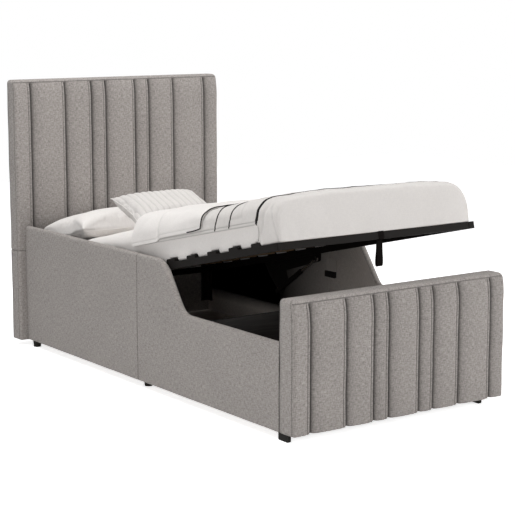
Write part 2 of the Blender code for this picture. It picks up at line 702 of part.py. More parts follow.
def build_frame(pivot, steel, plastic):
    """Tube rails, with the slat holders moulded onto the side rails."""
    inner_x = FRAME_HALF_WIDTH - RAIL_WIDTH
    slat_half = SLAT_WIDTH / 2 + SLAT_PLAY
    slot_top = HOLDER_FLOOR + SLAT_THICKNESS + 2 * SLAT_PLAY
    for label, side in SIDES.items():
        rail = block(
            on_platform(side * inner_x, 0, -RAIL_HEIGHT),
            on_platform(side * FRAME_HALF_WIDTH, FRAME_LENGTH, 0),
        )
        origin = on_platform(side * FRAME_HALF_WIDTH, 0, 0)
        made = place(f"side_rail_{label}", rail, steel, origin, pivot)
        added = bmesh.new()
        cut = bmesh.new()
        for middle in slat_places():
            low = middle - HOLDER_LENGTH / 2
            high = middle + HOLDER_LENGTH / 2
            outer = side * FRAME_HALF_WIDTH
            outline = [
                on_platform(outer, low, -CUT_OVERRUN), on_platform(outer, high, -CUT_OVERRUN),
                on_platform(outer, high, HOLDER_HEIGHT - HOLDER_SLOPE),
                on_platform(outer, high - HOLDER_SLOPE, HOLDER_HEIGHT),
                on_platform(outer, low + HOLDER_SLOPE, HOLDER_HEIGHT),
                on_platform(outer, low, HOLDER_HEIGHT - HOLDER_SLOPE),
            ]
            prism(outline, (-side * (RAIL_WIDTH - CUT_OVERRUN), 0, 0), added)
            tray_start = side * (inner_x + 2 * CUT_OVERRUN)
            tray = [Vector((tray_start, point.y, max(point.z, PIVOT_BELOW_FRAME_TOP))) for point in outline]
            prism(tray, (-side * (HOLDER_DEPTH - RAIL_WIDTH + 2 * CUT_OVERRUN), 0, 0), added)
            slot_inner = side * (FRAME_HALF_WIDTH - HOLDER_DEPTH - CUT_OVERRUN)
            slot_outer = side * (FRAME_HALF_WIDTH - HOLDER_WALL)
            block(
                on_platform(slot_inner, middle - slat_half, HOLDER_FLOOR),
                on_platform(slot_outer, middle + slat_half, slot_top),
                cut,
            )
        block(
            on_platform(side * (inner_x + PLUG_INSET), -PLUG_THICKNESS, -RAIL_HEIGHT + PLUG_INSET),
            on_platform(side * (FRAME_HALF_WIDTH - PLUG_INSET), CUT_OVERRUN, -PLUG_INSET),
            added,
        )
        joined = combine(made, added, "UNION", plastic)
        joined.modifiers[-1].use_self = True
        combine(made, cut, "DIFFERENCE", plastic)
    end_x = inner_x - SEAT_GAP
    for end, start in (("foot", 0.0), ("head", FRAME_LENGTH - RAIL_WIDTH)):
        rail = block(on_platform(-end_x, start, -RAIL_HEIGHT), on_platform(end_x, start + RAIL_WIDTH, 0))
        place(f"{end}_rail", rail, steel, on_platform(0, start, 0), pivot)


def build_slats(pivot, timber):
    """Sprung slats, bowed up between their holders."""
    half_length = FRAME_HALF_WIDTH - HOLDER_WALL - SLAT_PLAY
    bottom = HOLDER_FLOOR + SLAT_PLAY
    section = [
        (-SLAT_WIDTH / 2, SLAT_EDGE_CHAMFER), (-SLAT_WIDTH / 2 + SLAT_EDGE_CHAMFER, 0),
        (SLAT_WIDTH / 2 - SLAT_EDGE_CHAMFER, 0), (SLAT_WIDTH / 2, SLAT_EDGE_CHAMFER),
        (SLAT_WIDTH / 2, SLAT_THICKNESS), (-SLAT_WIDTH / 2, SLAT_THICKNESS),
    ]
    flat_from = FRAME_HALF_WIDTH - HOLDER_DEPTH
    bowed = [flat_from * (2 * step / SLAT_STEPS - 1) for step in range(SLAT_STEPS + 1)]
    stops = [-half_length, *bowed, half_length]
    for index, middle in enumerate(slat_places(), start=1):
        rings = []
        for x in stops:
            share = min(1.0, abs(x) / flat_from)
            lift = bottom + SLAT_CROWN * (1 - share * share)
            rings.append([on_platform(x, middle + run, lift + height) for run, height in section])
        place(f"slat_{index:02d}", loft(rings), timber, on_platform(0, middle, bottom), pivot)


def build_lift_arms(pivot, steel):
    """Angle irons bolted under the side rails, which hang on the pivots and take the struts."""
    flange_top = PIVOT_BELOW_FRAME_TOP - RAIL_HEIGHT - SEAT_GAP
    web_top = flange_top - ARM_CORNER_STEP
    head_y, head_z = STRUT_HEAD
    outline = hull_outline(
        [(0, 0, ARM_PIVOT_EYE), (head_y, head_z, ARM_STUD_EYE)],
        [(-ARM_FRONT_REACH, web_top), (ARM_BACK_REACH, web_top)],
    )
    arm_length = ARM_FRONT_REACH + ARM_BACK_REACH
    for label, side in SIDES.items():
        web_x = side * ARM_WEB_X
        web = prism([(web_x, y, z) for y, z in outline], (side * ARM_WEB_STEEL, 0, 0))
        arm = place(f"lift_arm_{label}", web, steel, Vector(), pivot)
        outer_x = ARM_WEB_X + ARM_WEB_STEEL
        flange = block(
            (side * (outer_x - ARM_FLANGE_WIDTH), -ARM_FRONT_REACH, flange_top - ARM_STEEL),
            (side * (outer_x - ARM_CORNER_STEP), ARM_BACK_REACH, flange_top),
        )
        stud_start = Vector((side * (ARM_WEB_X + ARM_WEB_STEEL / 2), head_y, head_z))
        stud_end = Vector((side * (STRUT_X - STRUT_EYE_WIDTH / 2 - STUD_HEAD_HEIGHT), head_y, head_z))
        rod(stud_start, stud_end, STRUT_STUD_RADIUS, EYE_SIDES, flange)
        head_end = stud_end - Vector((side * STUD_HEAD_HEIGHT, 0, 0))
        lap = Vector((side * STUD_HEAD_HEIGHT / 2, 0, 0))
        rod(stud_end + lap, head_end, STRUT_STUD_HEAD_RADIUS, EYE_SIDES, flange)
        bolt_x = side * (outer_x - ARM_FLANGE_WIDTH / 2)
        for share in ARM_BOLT_SHARES:
            y = -ARM_FRONT_REACH + share * arm_length
            top = Vector((bolt_x, y, flange_top - ARM_STEEL / 2))
            low = Vector((bolt_x, y, flange_top - ARM_STEEL - ARM_BOLT_HEIGHT))
            rod(top, low, ARM_BOLT_RADIUS, HEX_SIDES, flange)
        combine(arm, flange, "UNION", steel).modifiers[-1].use_self = True
        hole = rod(
            (side * (ARM_WEB_X - CUT_OVERRUN), 0, 0), (side * (outer_x + CUT_OVERRUN), 0, 0),
            PIVOT_HOLE_RADIUS, EYE_SIDES,
        )
        combine(arm, hole, "DIFFERENCE", steel)


def headed_stud(root, faces, side, radii, bm):
    """A stud along X that carries an eye between two faces: its collar, shank and head."""
    eye_out, eye_in = (Vector((x, root.y, root.z)) for x in faces)
    collar, shank, head = radii
    step = Vector((side * STUD_HEAD_HEIGHT, 0, 0))
    rod(root, eye_out, collar, EYE_SIDES, bm)
    rod(root, eye_in - step / 2, shank, EYE_SIDES, bm)
    rod(eye_in, eye_in - step, head, EYE_SIDES, bm)


def build_hinge_plates(steel):
    """Plates on the side panels with the platform pivots, their bushes and the struts' lower studs."""
    centre_y, centre_z = from_foot(PIVOT_FROM_FOOT), PIVOT_HEIGHT
    foot_y, foot_z = STRUT_FOOT
    circles = [(0, 0, HINGE_PIVOT_EYE), (foot_y, foot_z, HINGE_STRUT_EYE)]
    circles += [(y, z, HINGE_BOLT_EYE) for y, z in HINGE_BOLTS]
    outline = hull_outline(circles)
    pivot_radii = (PIVOT_BUSH_RADIUS, PIVOT_STUD_RADIUS, PIVOT_BUSH_RADIUS)
    strut_radii = (STRUT_NECK_RADIUS, STRUT_STUD_RADIUS, STRUT_STUD_HEAD_RADIUS)
    for label, side in SIDES.items():
        face_x = side * PANEL_FACE_X
        origin = Vector((face_x, centre_y, centre_z))
        points = [(face_x, centre_y + y, centre_z + z) for y, z in outline]
        plate = place(f"hinge_plate_{label}", prism(points, (-side * HINGE_STEEL, 0, 0)), steel, origin)
        root_x = side * (PANEL_FACE_X - HINGE_STEEL / 2)
        root = Vector((root_x, centre_y, centre_z))
        added = bmesh.new()
        for y, z in HINGE_BOLTS:
            start = Vector((root_x, centre_y + y, centre_z + z))
            end = Vector((side * (HINGE_FACE_X - HINGE_BOLT_HEIGHT), start.y, start.z))
            rod(start, end, HINGE_BOLT_RADIUS, HEX_SIDES, added)
        web_out = side * (ARM_WEB_X + ARM_WEB_STEEL + SEAT_GAP)
        web_in = side * (ARM_WEB_X - SEAT_GAP)
        headed_stud(root, (web_out, web_in), side, pivot_radii, added)
        root = Vector((root_x, centre_y + foot_y, centre_z + foot_z))
        eye_out = side * (STRUT_X + STRUT_EYE_WIDTH / 2 + SEAT_GAP)
        eye_in = side * (STRUT_X - STRUT_EYE_WIDTH / 2 - SEAT_GAP)
        headed_stud(root, (eye_out, eye_in), side, strut_radii, added)
        combine(plate, added, "UNION", steel).modifiers[-1].use_self = True


def build_struts(enamel, steel):
    """Gas struts: a tube that turns on the hinge plate and a rod that slides in it."""
    tilt = Matrix.Rotation(-REST_TILT, 2)
    head = tilt @ STRUT_HEAD
    run = head - STRUT_FOOT
    length = run.length
    angle = math.atan2(-run.x, run.y)
    foot = Vector((0, from_foot(PIVOT_FROM_FOOT) + STRUT_FOOT.x, PIVOT_HEIGHT + STRUT_FOOT.y))
    half_eye = STRUT_EYE_WIDTH / 2
    for label, side in SIDES.items():
        barrel = rod((0, 0, STRUT_TUBE_START), (0, 0, STRUT_TUBE_END), STRUT_TUBE_RADIUS, STRUT_ROUND_SIDES)
        tube = place(f"gas_strut_tube_{label}", barrel, enamel)
        eye = rod((-half_eye, 0, 0), (half_eye, 0, 0), STRUT_FOOT_EYE_RADIUS, STRUT_ROUND_SIDES)
        stem_end = STRUT_TUBE_START + STRUT_NECK_RADIUS
        rod((0, 0, STRUT_NECK_RADIUS), (0, 0, stem_end), STRUT_STEM_RADIUS, BOLT_SIDES, eye)
        combine(tube, eye, "UNION", enamel).modifiers[-1].use_self = True
        bores = rod((-STRUT_EYE_WIDTH, 0, 0), (STRUT_EYE_WIDTH, 0, 0), STRUT_FOOT_BORE, STRUT_ROUND_SIDES)
        bore_end = STRUT_TUBE_END + CUT_OVERRUN
        rod((0, 0, STRUT_BORE_START), (0, 0, bore_end), STRUT_BORE_RADIUS, STRUT_ROUND_SIDES, bores)
        combine(tube, bores, "DIFFERENCE", enamel)
        rod_end = (0, 0, length - STRUT_HEAD_BORE)
        bar = rod((0, 0, STRUT_ROD_START), rod_end, STRUT_ROD_RADIUS, STRUT_ROUND_SIDES)
        shaft = place(f"gas_strut_rod_{label}", bar, steel)
        eye = rod((-half_eye, 0, length), (half_eye, 0, length), STRUT_HEAD_EYE_RADIUS, EYE_SIDES)
        combine(shaft, eye, "UNION", steel)
        bore = rod((-STRUT_EYE_WIDTH, 0, length), (STRUT_EYE_WIDTH, 0, length), STRUT_HEAD_BORE, EYE_SIDES)
        combine(shaft, bore, "DIFFERENCE", steel)
        for piece in (tube, shaft):
            stand(piece, Vector((side * STRUT_X, foot.y, foot.z)), angle)


def stand(piece, where, angle):
    """Move a piece and the meshes that shape it to a place, leaning about X."""
    shapes = [change.object for change in piece.modifiers if change.type == "BOOLEAN"]
    for item in [piece, *shapes]:
        item.location = where
        item.rotation_euler.x = angle


def corner_arc(half_width, height, full, radius):
    """Points of an arc about the centre of a corner of full radius, from its side to its top."""
    centre_x, centre_z = half_width - full, height - full
    steps = quarter(MATTRESS_EDGE_STEPS)
    return [(centre_x + radius * math.cos(a), centre_z + radius * math.sin(a)) for a in steps]


def build_mattress(pivot, ticking):
    """A block with rounded edges, whose sides draw in a little between them."""
    radius = MATTRESS_EDGE_RADIUS
    half = MATTRESS_WIDTH / 2
    middle = (MATTRESS_BOTTOM + MATTRESS_TOP) / 2
    turns = [(radius * math.cos(a), radius * math.sin(a)) for a in quarter(MATTRESS_EDGE_STEPS)]
    stations = [(MATTRESS_FOOT_INSET + radius - run, rise) for run, rise in turns]
    stations += [(MATTRESS_HEAD - radius + run, rise) for run, rise in reversed(turns)]
    rings = []
    for where, corner in stations:
        upper = corner_arc(half, MATTRESS_TOP, radius, corner)
        low_corner = MATTRESS_LOWER_RADIUS * corner / radius
        lower = corner_arc(half, MATTRESS_TOP, MATTRESS_LOWER_RADIUS, low_corner)
        lower = [(x, MATTRESS_BOTTOM + MATTRESS_TOP - z) for x, z in reversed(lower)]
        right = lower + [(half - radius + corner - MATTRESS_DRAW, middle)] + upper
        ring = right + [(-x, z) for x, z in reversed(right)]
        rings.append([on_platform(x, where, z) for x, z in ring])
    place("mattress", loft(rings), ticking, on_platform(0, 0, MATTRESS_BOTTOM), pivot)


def cover_outline(half_width, crown, hem):
    """Half outline of a draped layer's outer face, from the hem to the middle of the top."""
    sides = [(half_width * across, crown - COVER_SHOULDER * drop) for across, drop in COVER_SHARES]
    return [(half_width, hem), *sides]


def shell_ring(outer, inner, where):
    """One section of a draped layer: over the outer face and back along the inner one."""
    points = outer + [(-x, z) for x, z in reversed(outer)]
    points += [(-x, z) for x, z in inner] + [(x, z) for x, z in reversed(inner)]
    return [on_platform(x, where, z) for x, z in points]


def build_cover(pivot, linen):
    """The cover over the mattress: closed at the foot, tucked at its corners and hemmed at the sides."""
    wall_back = MATTRESS_FOOT_INSET - CLOTH_GAP
    wall_depth = wall_back - COVER_FOOT_FACE
    sections = []
    for angle in quarter():
        inset = wall_depth * (1 - math.sin(angle))
        where = COVER_FOOT_FACE + wall_depth * (1 - math.cos(angle))
        sections.append((where, inset - PLEAT_DEPTH, inset, COVER_FOOT_BOTTOM))
    for step in range(COVER_STATIONS + 1):
        share = step / COVER_STATIONS
        where = PLEAT_LENGTH + (COVER_HEAD_END - PLEAT_LENGTH) * share
        sections.append((where, 0.0, 0.0, COVER_HEM + COVER_HEM_RISE * share))
    rings = []
    for where, side_inset, top_inset, hem in sections:
        outer = cover_outline(COVER_HALF_WIDTH - side_inset, COVER_TOP - top_inset, hem)
        ring = outer + [(-x, z) for x, z in reversed(outer)]
        rings.append([on_platform(x, where, z) for x, z in ring])
    cover = place("cover", loft(rings), linen, on_platform(0, 0, MATTRESS_TOP), pivot)
    radius = MATTRESS_EDGE_RADIUS
    inner = corner_arc(MATTRESS_WIDTH / 2, MATTRESS_TOP, radius, radius + CLOTH_GAP)
    inner = [(inner[0][0], COVER_FOOT_BOTTOM - CUT_OVERRUN), *inner]
    outline = inner + [(-x, z) for x, z in reversed(inner)]
    reach = COVER_HEAD_END - wall_back + CUT_OVERRUN
    hollow = prism([on_platform(x, wall_back, z) for x, z in outline], (0, reach, 0))
    combine(cover, hollow, "DIFFERENCE", linen)


def build_cover_fold(pivot, linen):
    """The head end of the cover, turned back over it towards the foot."""
    hem = COVER_TOP - COVER_SHOULDER * FOLD_HEM_SHARE
    inner_half = COVER_HALF_WIDTH + CLOTH_GAP
    inner = [(inner_half, hem), *cover_outline(inner_half, COVER_TOP + CLOTH_GAP, hem)[2:]]
    half = COVER_HALF_WIDTH + FOLD_SIDE_THICKNESS
    rings = []
    for along, rise in FOLD_CROWN_SHARES:
        where = FOLD_FOOT_EDGE + along * FOLD_LENGTH
        top = COVER_TOP + rise * FOLD_CROWN
        outer = [(half, hem)]
        outer += [(half * across, top - (top - hem) * drop) for across, drop in COVER_SHARES[2:]]
        rings.append(shell_ring(outer, inner, where))
    place("cover_fold", loft(rings), linen, on_platform(0, FOLD_HEAD_EDGE, MATTRESS_TOP), pivot)


def plumpness(across, along):
    """Share of the full thickness at a place on a stuffed shape, zero on its seam."""
    return math.sqrt((1 - across ** 4) * (1 - along ** 4))


def stuffed(width, depth, columns, rows, draw_share, upper, lower):
    """Two skins that meet at a seam drawn in between its corners, whose heights upper and lower give."""
    bm = bmesh.new()
    skins = []
    for height_at in (upper, lower):
        skin = []
        for row in range(rows + 1):
            along = 2 * row / rows - 1
            line = []
            for column in range(columns + 1):
                across = 2 * column / columns - 1
                x = across * width / 2 * (1 - draw_share * (1 - along * along))
                y = along * depth / 2 * (1 - draw_share * (1 - across * across))
                line.append(bm.verts.new((x, y, height_at(across, along))))
            skin.append(line)
        for near, far in zip(skin, skin[1:]):
            for i in range(columns):
                bm.faces.new((near[i], near[i + 1], far[i + 1], far[i]))
        skins.append(skin)
    edges = [(skin[0], skin[-1], [line[0] for line in skin], [line[-1] for line in skin]) for skin in skins]
    for top_edge, low_edge in zip(*edges):
        for i in range(len(top_edge) - 1):
            bm.faces.new((top_edge[i], top_edge[i + 1], low_edge[i + 1], low_edge[i]))
    return bm


def build_pillow(pivot, linen):
    """A pillow that lies flat on the mattress at the head end."""
    seam = PIPING_THICKNESS / 2
    shape = stuffed(
        PILLOW_WIDTH, PILLOW_DEPTH, PILLOW_COLUMNS, PILLOW_ROWS, PILLOW_DRAW_SHARE,
        lambda across, along: seam + plumpness(across, along) * PILLOW_CROWN,
        lambda across, along: -seam - plumpness(across, along) * PILLOW_UNDERSIDE,
    )
    seam_height = MATTRESS_TOP + SEAT_GAP + PILLOW_UNDERSIDE + seam
    centre = on_platform(PILLOW_CENTRE_X, MATTRESS_HEAD - PILLOW_BEFORE_MATTRESS_HEAD, seam_height)
    bmesh.ops.translate(shape, vec=centre, verts=shape.verts)
    place("pillow", shape, linen, centre, pivot)


def build_cushion(pivot, linen):
    """A ribbed scatter cushion that leans back in front of the pillow."""
    seam = PIPING_THICKNESS / 2

    def ribbed(across, along):
        plump = plumpness(across, along)
        rib = abs(math.sin(math.pi * CUSHION_RIBS * (across + 1) / 2))
        return seam + plump * (CUSHION_CROWN - CUSHION_RIB_DEPTH * (1 - rib))

    shape = stuffed(
        CUSHION_WIDTH, CUSHION_DEPTH, CUSHION_RIBS * CUSHION_RIB_STEPS, CUSHION_ROWS, CUSHION_DRAW_SHARE,
        ribbed, lambda across, along: -seam - plumpness(across, along) * CUSHION_CROWN,
    )
    turned = Matrix.Rotation(CUSHION_YAW, 4, "Z") @ Matrix.Rotation(CUSHION_LEAN, 4, "X")
    bmesh.ops.transform(shape, matrix=turned, verts=shape.verts)
    lowest = min(vertex.co.z for vertex in shape.verts)
    along_bed = MATTRESS_HEAD - CUSHION_BEFORE_MATTRESS_HEAD
    centre = on_platform(CUSHION_CENTRE_X, along_bed, MATTRESS_TOP + SEAT_GAP - lowest)
    bmesh.ops.translate(shape, vec=centre, verts=shape.verts)
    place("ribbed_cushion", shape, linen, centre, pivot)


def band(path, widths, thickness):
    """A closed loop of webbing along a path of (y, z), each point with its own width."""
    bm = bmesh.new()
    loops = []
    for i, here in enumerate(path):
        run = path[(i + 1) % len(path)] - path[i - 1]
        out = Vector((run.y, -run.x)).normalized() * thickness / 2
        half = widths[i] / 2
        corners = [(-half, here - out), (half, here - out), (half, here + out), (-half, here + out)]
        loops.append([bm.verts.new((STRAP_CENTRE_X + x, point.x, point.y)) for x, point in corners])
    for i, second in enumerate(loops):
        first = loops[i - 1]
        for k, corner in enumerate(first):
            bm.faces.new((first[k - 1], corner, second[k], second[k - 1]))
    return bm


def build_strap(pivot, webbing):
    """A webbing band round the foot rail and the loop that hangs from it."""
    skin = SEAT_GAP + STRAP_THICKNESS / 2
    low = on_platform(0, -skin, -RAIL_HEIGHT - skin)
    high = on_platform(0, RAIL_WIDTH + skin, skin)
    corners = ((low.y, low.z), (high.y, low.z), (high.y, high.z), (low.y, high.z))
    path = [Vector(corner) for corner in corners]
    wrap = band(path, [STRAP_WIDTH] * len(path), STRAP_THICKNESS * math.sqrt(2))
    rail_middle = RAIL_WIDTH / 2
    place("strap_wrap", wrap, webbing, on_platform(STRAP_CENTRE_X, rail_middle, -RAIL_HEIGHT), pivot)

    below_rail = skin + STRAP_THICKNESS + STRAP_CLEARANCE
    hook = pivot.matrix_basis @ on_platform(0, rail_middle, -RAIL_HEIGHT - below_rail)
    top, bottom = Vector((hook.y, hook.z)), Vector((hook.y, hook.z - STRAP_LENGTH))
    front, widths = [], []
    for down, share in STRAP_OPENING_SHARES:
        front.append(top + Vector((-share * STRAP_LOOP_OPENING / 2, -down * STRAP_LENGTH)))
        widths.append(STRAP_WIDTH + down * (STRAP_LOWER_WIDTH - STRAP_WIDTH))
    back = [Vector((2 * hook.y - point.x, point.y)) for point in reversed(front)]
    path = [top, *front, bottom, *back]
    widths = [STRAP_WIDTH, *widths, STRAP_LOWER_WIDTH, *reversed(widths)]
    place("pull_strap", band(path, widths, STRAP_THICKNESS), webbing, hook)


def build_bed():
    """Clear the scene and make every piece."""
    for old in list(bpy.data.objects):
        bpy.data.objects.remove(old, do_unlink=True)
    fabric = material("woven_upholstery", (0.34, 0.31, 0.29), 0.9)
    lining = material("lining", (0.055, 0.045, 0.04), 0.95)
    board = material("dark_board", (0.035, 0.03, 0.028), 0.8)
    timber = material("slat_timber", (0.52, 0.36, 0.21), 0.6)
    steel = material("black_enamelled_steel", (0.025, 0.022, 0.02), 0.45, 0.6)
    bright = material("bright_steel", (0.6, 0.6, 0.6), 0.25, 1.0)
    plastic = material("black_plastic", (0.02, 0.02, 0.02), 0.5)
    linen = material("white_linen", (0.82, 0.8, 0.78), 0.9)
    webbing = material("black_webbing", (0.02, 0.019, 0.018), 0.85)
    build_headboard(fabric, lining)
    build_footboard(fabric, lining)
    build_side_panels(fabric)
    build_storage_floor(timber, board)
    build_feet(plastic)
    build_corner_brackets(steel)
    build_rest_brackets(steel)
    build_hinge_plates(steel)
    pivot = build_pivot()
    build_frame(pivot, steel, plastic)
    build_slats(pivot, timber)
    build_lift_arms(pivot, steel)
    build_struts(steel, bright)
    build_mattress(pivot, linen)
    build_cover(pivot, linen)
    build_cover_fold(pivot, linen)
    build_pillow(pivot, linen)
    build_cushion(pivot, linen)
    build_strap(pivot, webbing)


build_bed()
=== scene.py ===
"""Looks of a storage bed with a lifting platform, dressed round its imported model.

Metres, +Z up, in the model's own frame: the head of the bed is at +Y, the foot at -Y and the
left side at -X. Upholstery and bedding are modelled here. Rails, plates, brackets and struts keep
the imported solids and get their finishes.
"""

import json
import logging
import math
from collections.abc import Sequence
from dataclasses import dataclass, field
from enum import Enum

import bpy
import numpy as np
from bpy.types import ID, Material, Node, NodeSocket, NodeTree, Object
from mathutils import Matrix, Vector
from mathutils.bvhtree import BVHTree


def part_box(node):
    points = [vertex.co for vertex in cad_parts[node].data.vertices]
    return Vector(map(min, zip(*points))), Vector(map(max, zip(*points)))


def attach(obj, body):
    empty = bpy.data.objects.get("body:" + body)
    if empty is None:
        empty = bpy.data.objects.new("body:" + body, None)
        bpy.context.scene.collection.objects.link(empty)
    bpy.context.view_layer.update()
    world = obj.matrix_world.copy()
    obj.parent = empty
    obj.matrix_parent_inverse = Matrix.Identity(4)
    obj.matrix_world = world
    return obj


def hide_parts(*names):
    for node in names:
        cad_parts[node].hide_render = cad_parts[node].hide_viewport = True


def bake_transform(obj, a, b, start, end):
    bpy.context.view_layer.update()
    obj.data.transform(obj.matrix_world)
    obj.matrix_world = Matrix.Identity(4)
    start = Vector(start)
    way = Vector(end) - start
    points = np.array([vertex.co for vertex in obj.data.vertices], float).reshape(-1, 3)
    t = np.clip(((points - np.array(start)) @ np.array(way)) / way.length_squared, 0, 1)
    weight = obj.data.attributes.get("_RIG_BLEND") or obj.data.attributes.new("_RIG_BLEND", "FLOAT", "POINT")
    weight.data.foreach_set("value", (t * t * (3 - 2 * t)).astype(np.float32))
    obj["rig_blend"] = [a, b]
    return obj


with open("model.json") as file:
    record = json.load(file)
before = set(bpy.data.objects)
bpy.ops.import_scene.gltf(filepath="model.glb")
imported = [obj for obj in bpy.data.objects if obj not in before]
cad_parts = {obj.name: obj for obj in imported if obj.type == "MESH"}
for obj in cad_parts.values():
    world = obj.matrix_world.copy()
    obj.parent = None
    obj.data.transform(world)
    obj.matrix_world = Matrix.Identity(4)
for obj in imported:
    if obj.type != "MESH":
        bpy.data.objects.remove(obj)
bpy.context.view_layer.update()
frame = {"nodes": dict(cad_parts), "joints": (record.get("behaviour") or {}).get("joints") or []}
CLOTH_MAP = "cloth"
# Name of the mesh attribute that holds painted shade in creases, seams and grooves, from 0 to 1.
PAINTED_CREASE_SHADE = "crease"
CLOTH_FRAMES = 20
# Inner faces of the side panels: the upholstery's cloth made lighter than outside to make up for the little
# light that reaches in, which is painted light.
PANEL_INNER_WITH_PAINTED_LIGHT = (0.690, 0.634, 0.595)
ENAMEL = (0.0095, 0.0083, 0.0076)
SIDES = {"left": -1, "right": 1}
log = logging.getLogger("storage_bed")

Colour = tuple[float, float, float]
Value = object


class Body(Enum):
    """The moving bodies that pieces ride on."""

    BASE = "bed_base"
    PLATFORM = "platform"
    STRAP = "pull_strap"


class Slot(Enum):
    """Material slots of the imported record."""

    UPHOLSTERY = "upholstery"
    LINING = "lining"
    BOARD = "board"
    TIMBER = "timber"
    SLAT_TIMBER = "slat_timber"
    FRAME_STEEL = "frame_steel"
    BRIGHT_STEEL = "bright_steel"
    PLASTIC = "plastic"
    LINEN = "linen"
    WEBBING = "webbing"


class SocketKind(Enum):
    """Kinds of socket on a node group."""

    NUMBER = "NodeSocketFloat"
    COUNT = "NodeSocketInt"
    VECTOR = "NodeSocketVector"
    GEOMETRY = "NodeSocketGeometry"
    MATERIAL = "NodeSocketMaterial"


NUMBER_KINDS = {float: SocketKind.NUMBER, int: SocketKind.COUNT}


class Wiring:
    """Adds nodes to one tree and joins their sockets."""

    def __init__(self, tree: NodeTree) -> None:
        """Keep the tree that the nodes go into."""
        self.tree = tree

    def add(self, kind: str, inputs: dict | None = None, **settings: Value) -> Node:
        """Add a node.

        Args:
            kind: The node's type name.
            inputs: A value or a socket for each input, by name or number.
            settings: Values for the node's own properties.

        Returns:
            The new node.
        """
        node = self.tree.nodes.new(kind)
        for name, value in settings.items():
            setattr(node, name, value)
        self.feed(node, inputs or {})
        return node

    def feed(self, node: Node, inputs: dict) -> None:
        """Link sockets to a node's inputs, or set their values.

        Args:
            node: The node.
            inputs: What each input gets.
        """
        for key, value in inputs.items():
            if isinstance(value, NodeSocket):
                self.tree.links.new(value, node.inputs[key])
            else:
                node.inputs[key].default_value = value

    def sum(
        self, operation: str, first: Value, second: Value = 0.0, clamp: bool = False,
    ) -> NodeSocket:
        """Work out one Math node."""
        node = self.add("ShaderNodeMath", {0: first, 1: second}, operation=operation, use_clamp=clamp)
        return node.outputs[0]

    def stretch(self, vector: Value, factors: Value) -> NodeSocket:
        """Scale coordinates along each axis."""
        node = self.add("ShaderNodeVectorMath", {0: vector, 1: factors}, operation="MULTIPLY")
        return node.outputs[0]

    def vector(self, x: Value = 0.0, y: Value = 0.0, z: Value = 0.0) -> NodeSocket:
        """Join three values into a vector."""
        return self.add("ShaderNodeCombineXYZ", {0: x, 1: y, 2: z}).outputs[0]

    def parts(self, vector: Value) -> Sequence[NodeSocket]:
        """Take a vector apart into its three values."""
        return self.add("ShaderNodeSeparateXYZ", {0: vector}).outputs

    def mix(self, share: Value, first: Value, second: Value) -> NodeSocket:
        """Mix two colours."""
        return self.add("ShaderNodeMix", {0: share, 6: first, 7: second}, data_type="RGBA").outputs[2]

    def span(
        self, value: Value, low: float, high: float, start: float = 0.0, end: float = 1.0,
    ) -> NodeSocket:
        """Map a range of values onto another, without overshoot."""
        inputs = {"Value": value, "From Min": low, "From Max": high, "To Min": start, "To Max": end}
        return self.add("ShaderNodeMapRange", inputs).outputs["Result"]

    def noise(
        self, vector: Value, scale: Value, detail: float = 2.0, roughness: float = 0.5,
    ) -> NodeSocket:
        """Add a noise pattern."""
        inputs = {"Vector": vector, "Scale": scale, "Detail": detail, "Roughness": roughness}
        return self.add("ShaderNodeTexNoise", inputs).outputs[0]


def new_tree(
    name: str, kind: str, inputs: dict[str, SocketKind | float], outputs: dict[str, SocketKind],
) -> tuple[Wiring, Node, Node]:
    """Start a node group with named inputs and outputs.

    Args:
        name: The group's name.
        kind: The tree's type name.
        inputs: Each input by name, as its kind or as the number that it starts with.
        outputs: Each output's kind, by name.

    Returns:
        The wiring, the group's input node and its output node.
    """
    tree = bpy.data.node_groups.new(name, kind)
    for label, value in inputs.items():
        kind_only = isinstance(value, SocketKind)
        socket = value if kind_only else NUMBER_KINDS[type(value)]
        made = tree.interface.new_socket(name=label, in_out="INPUT", socket_type=socket.value)
        if not kind_only:
            made.default_value = value
    for label, socket in outputs.items():
        tree.interface.new_socket(name=label, in_out="OUTPUT", socket_type=socket.value)
    wiring = Wiring(tree)
    return wiring, wiring.add("NodeGroupInput"), wiring.add("NodeGroupOutput")


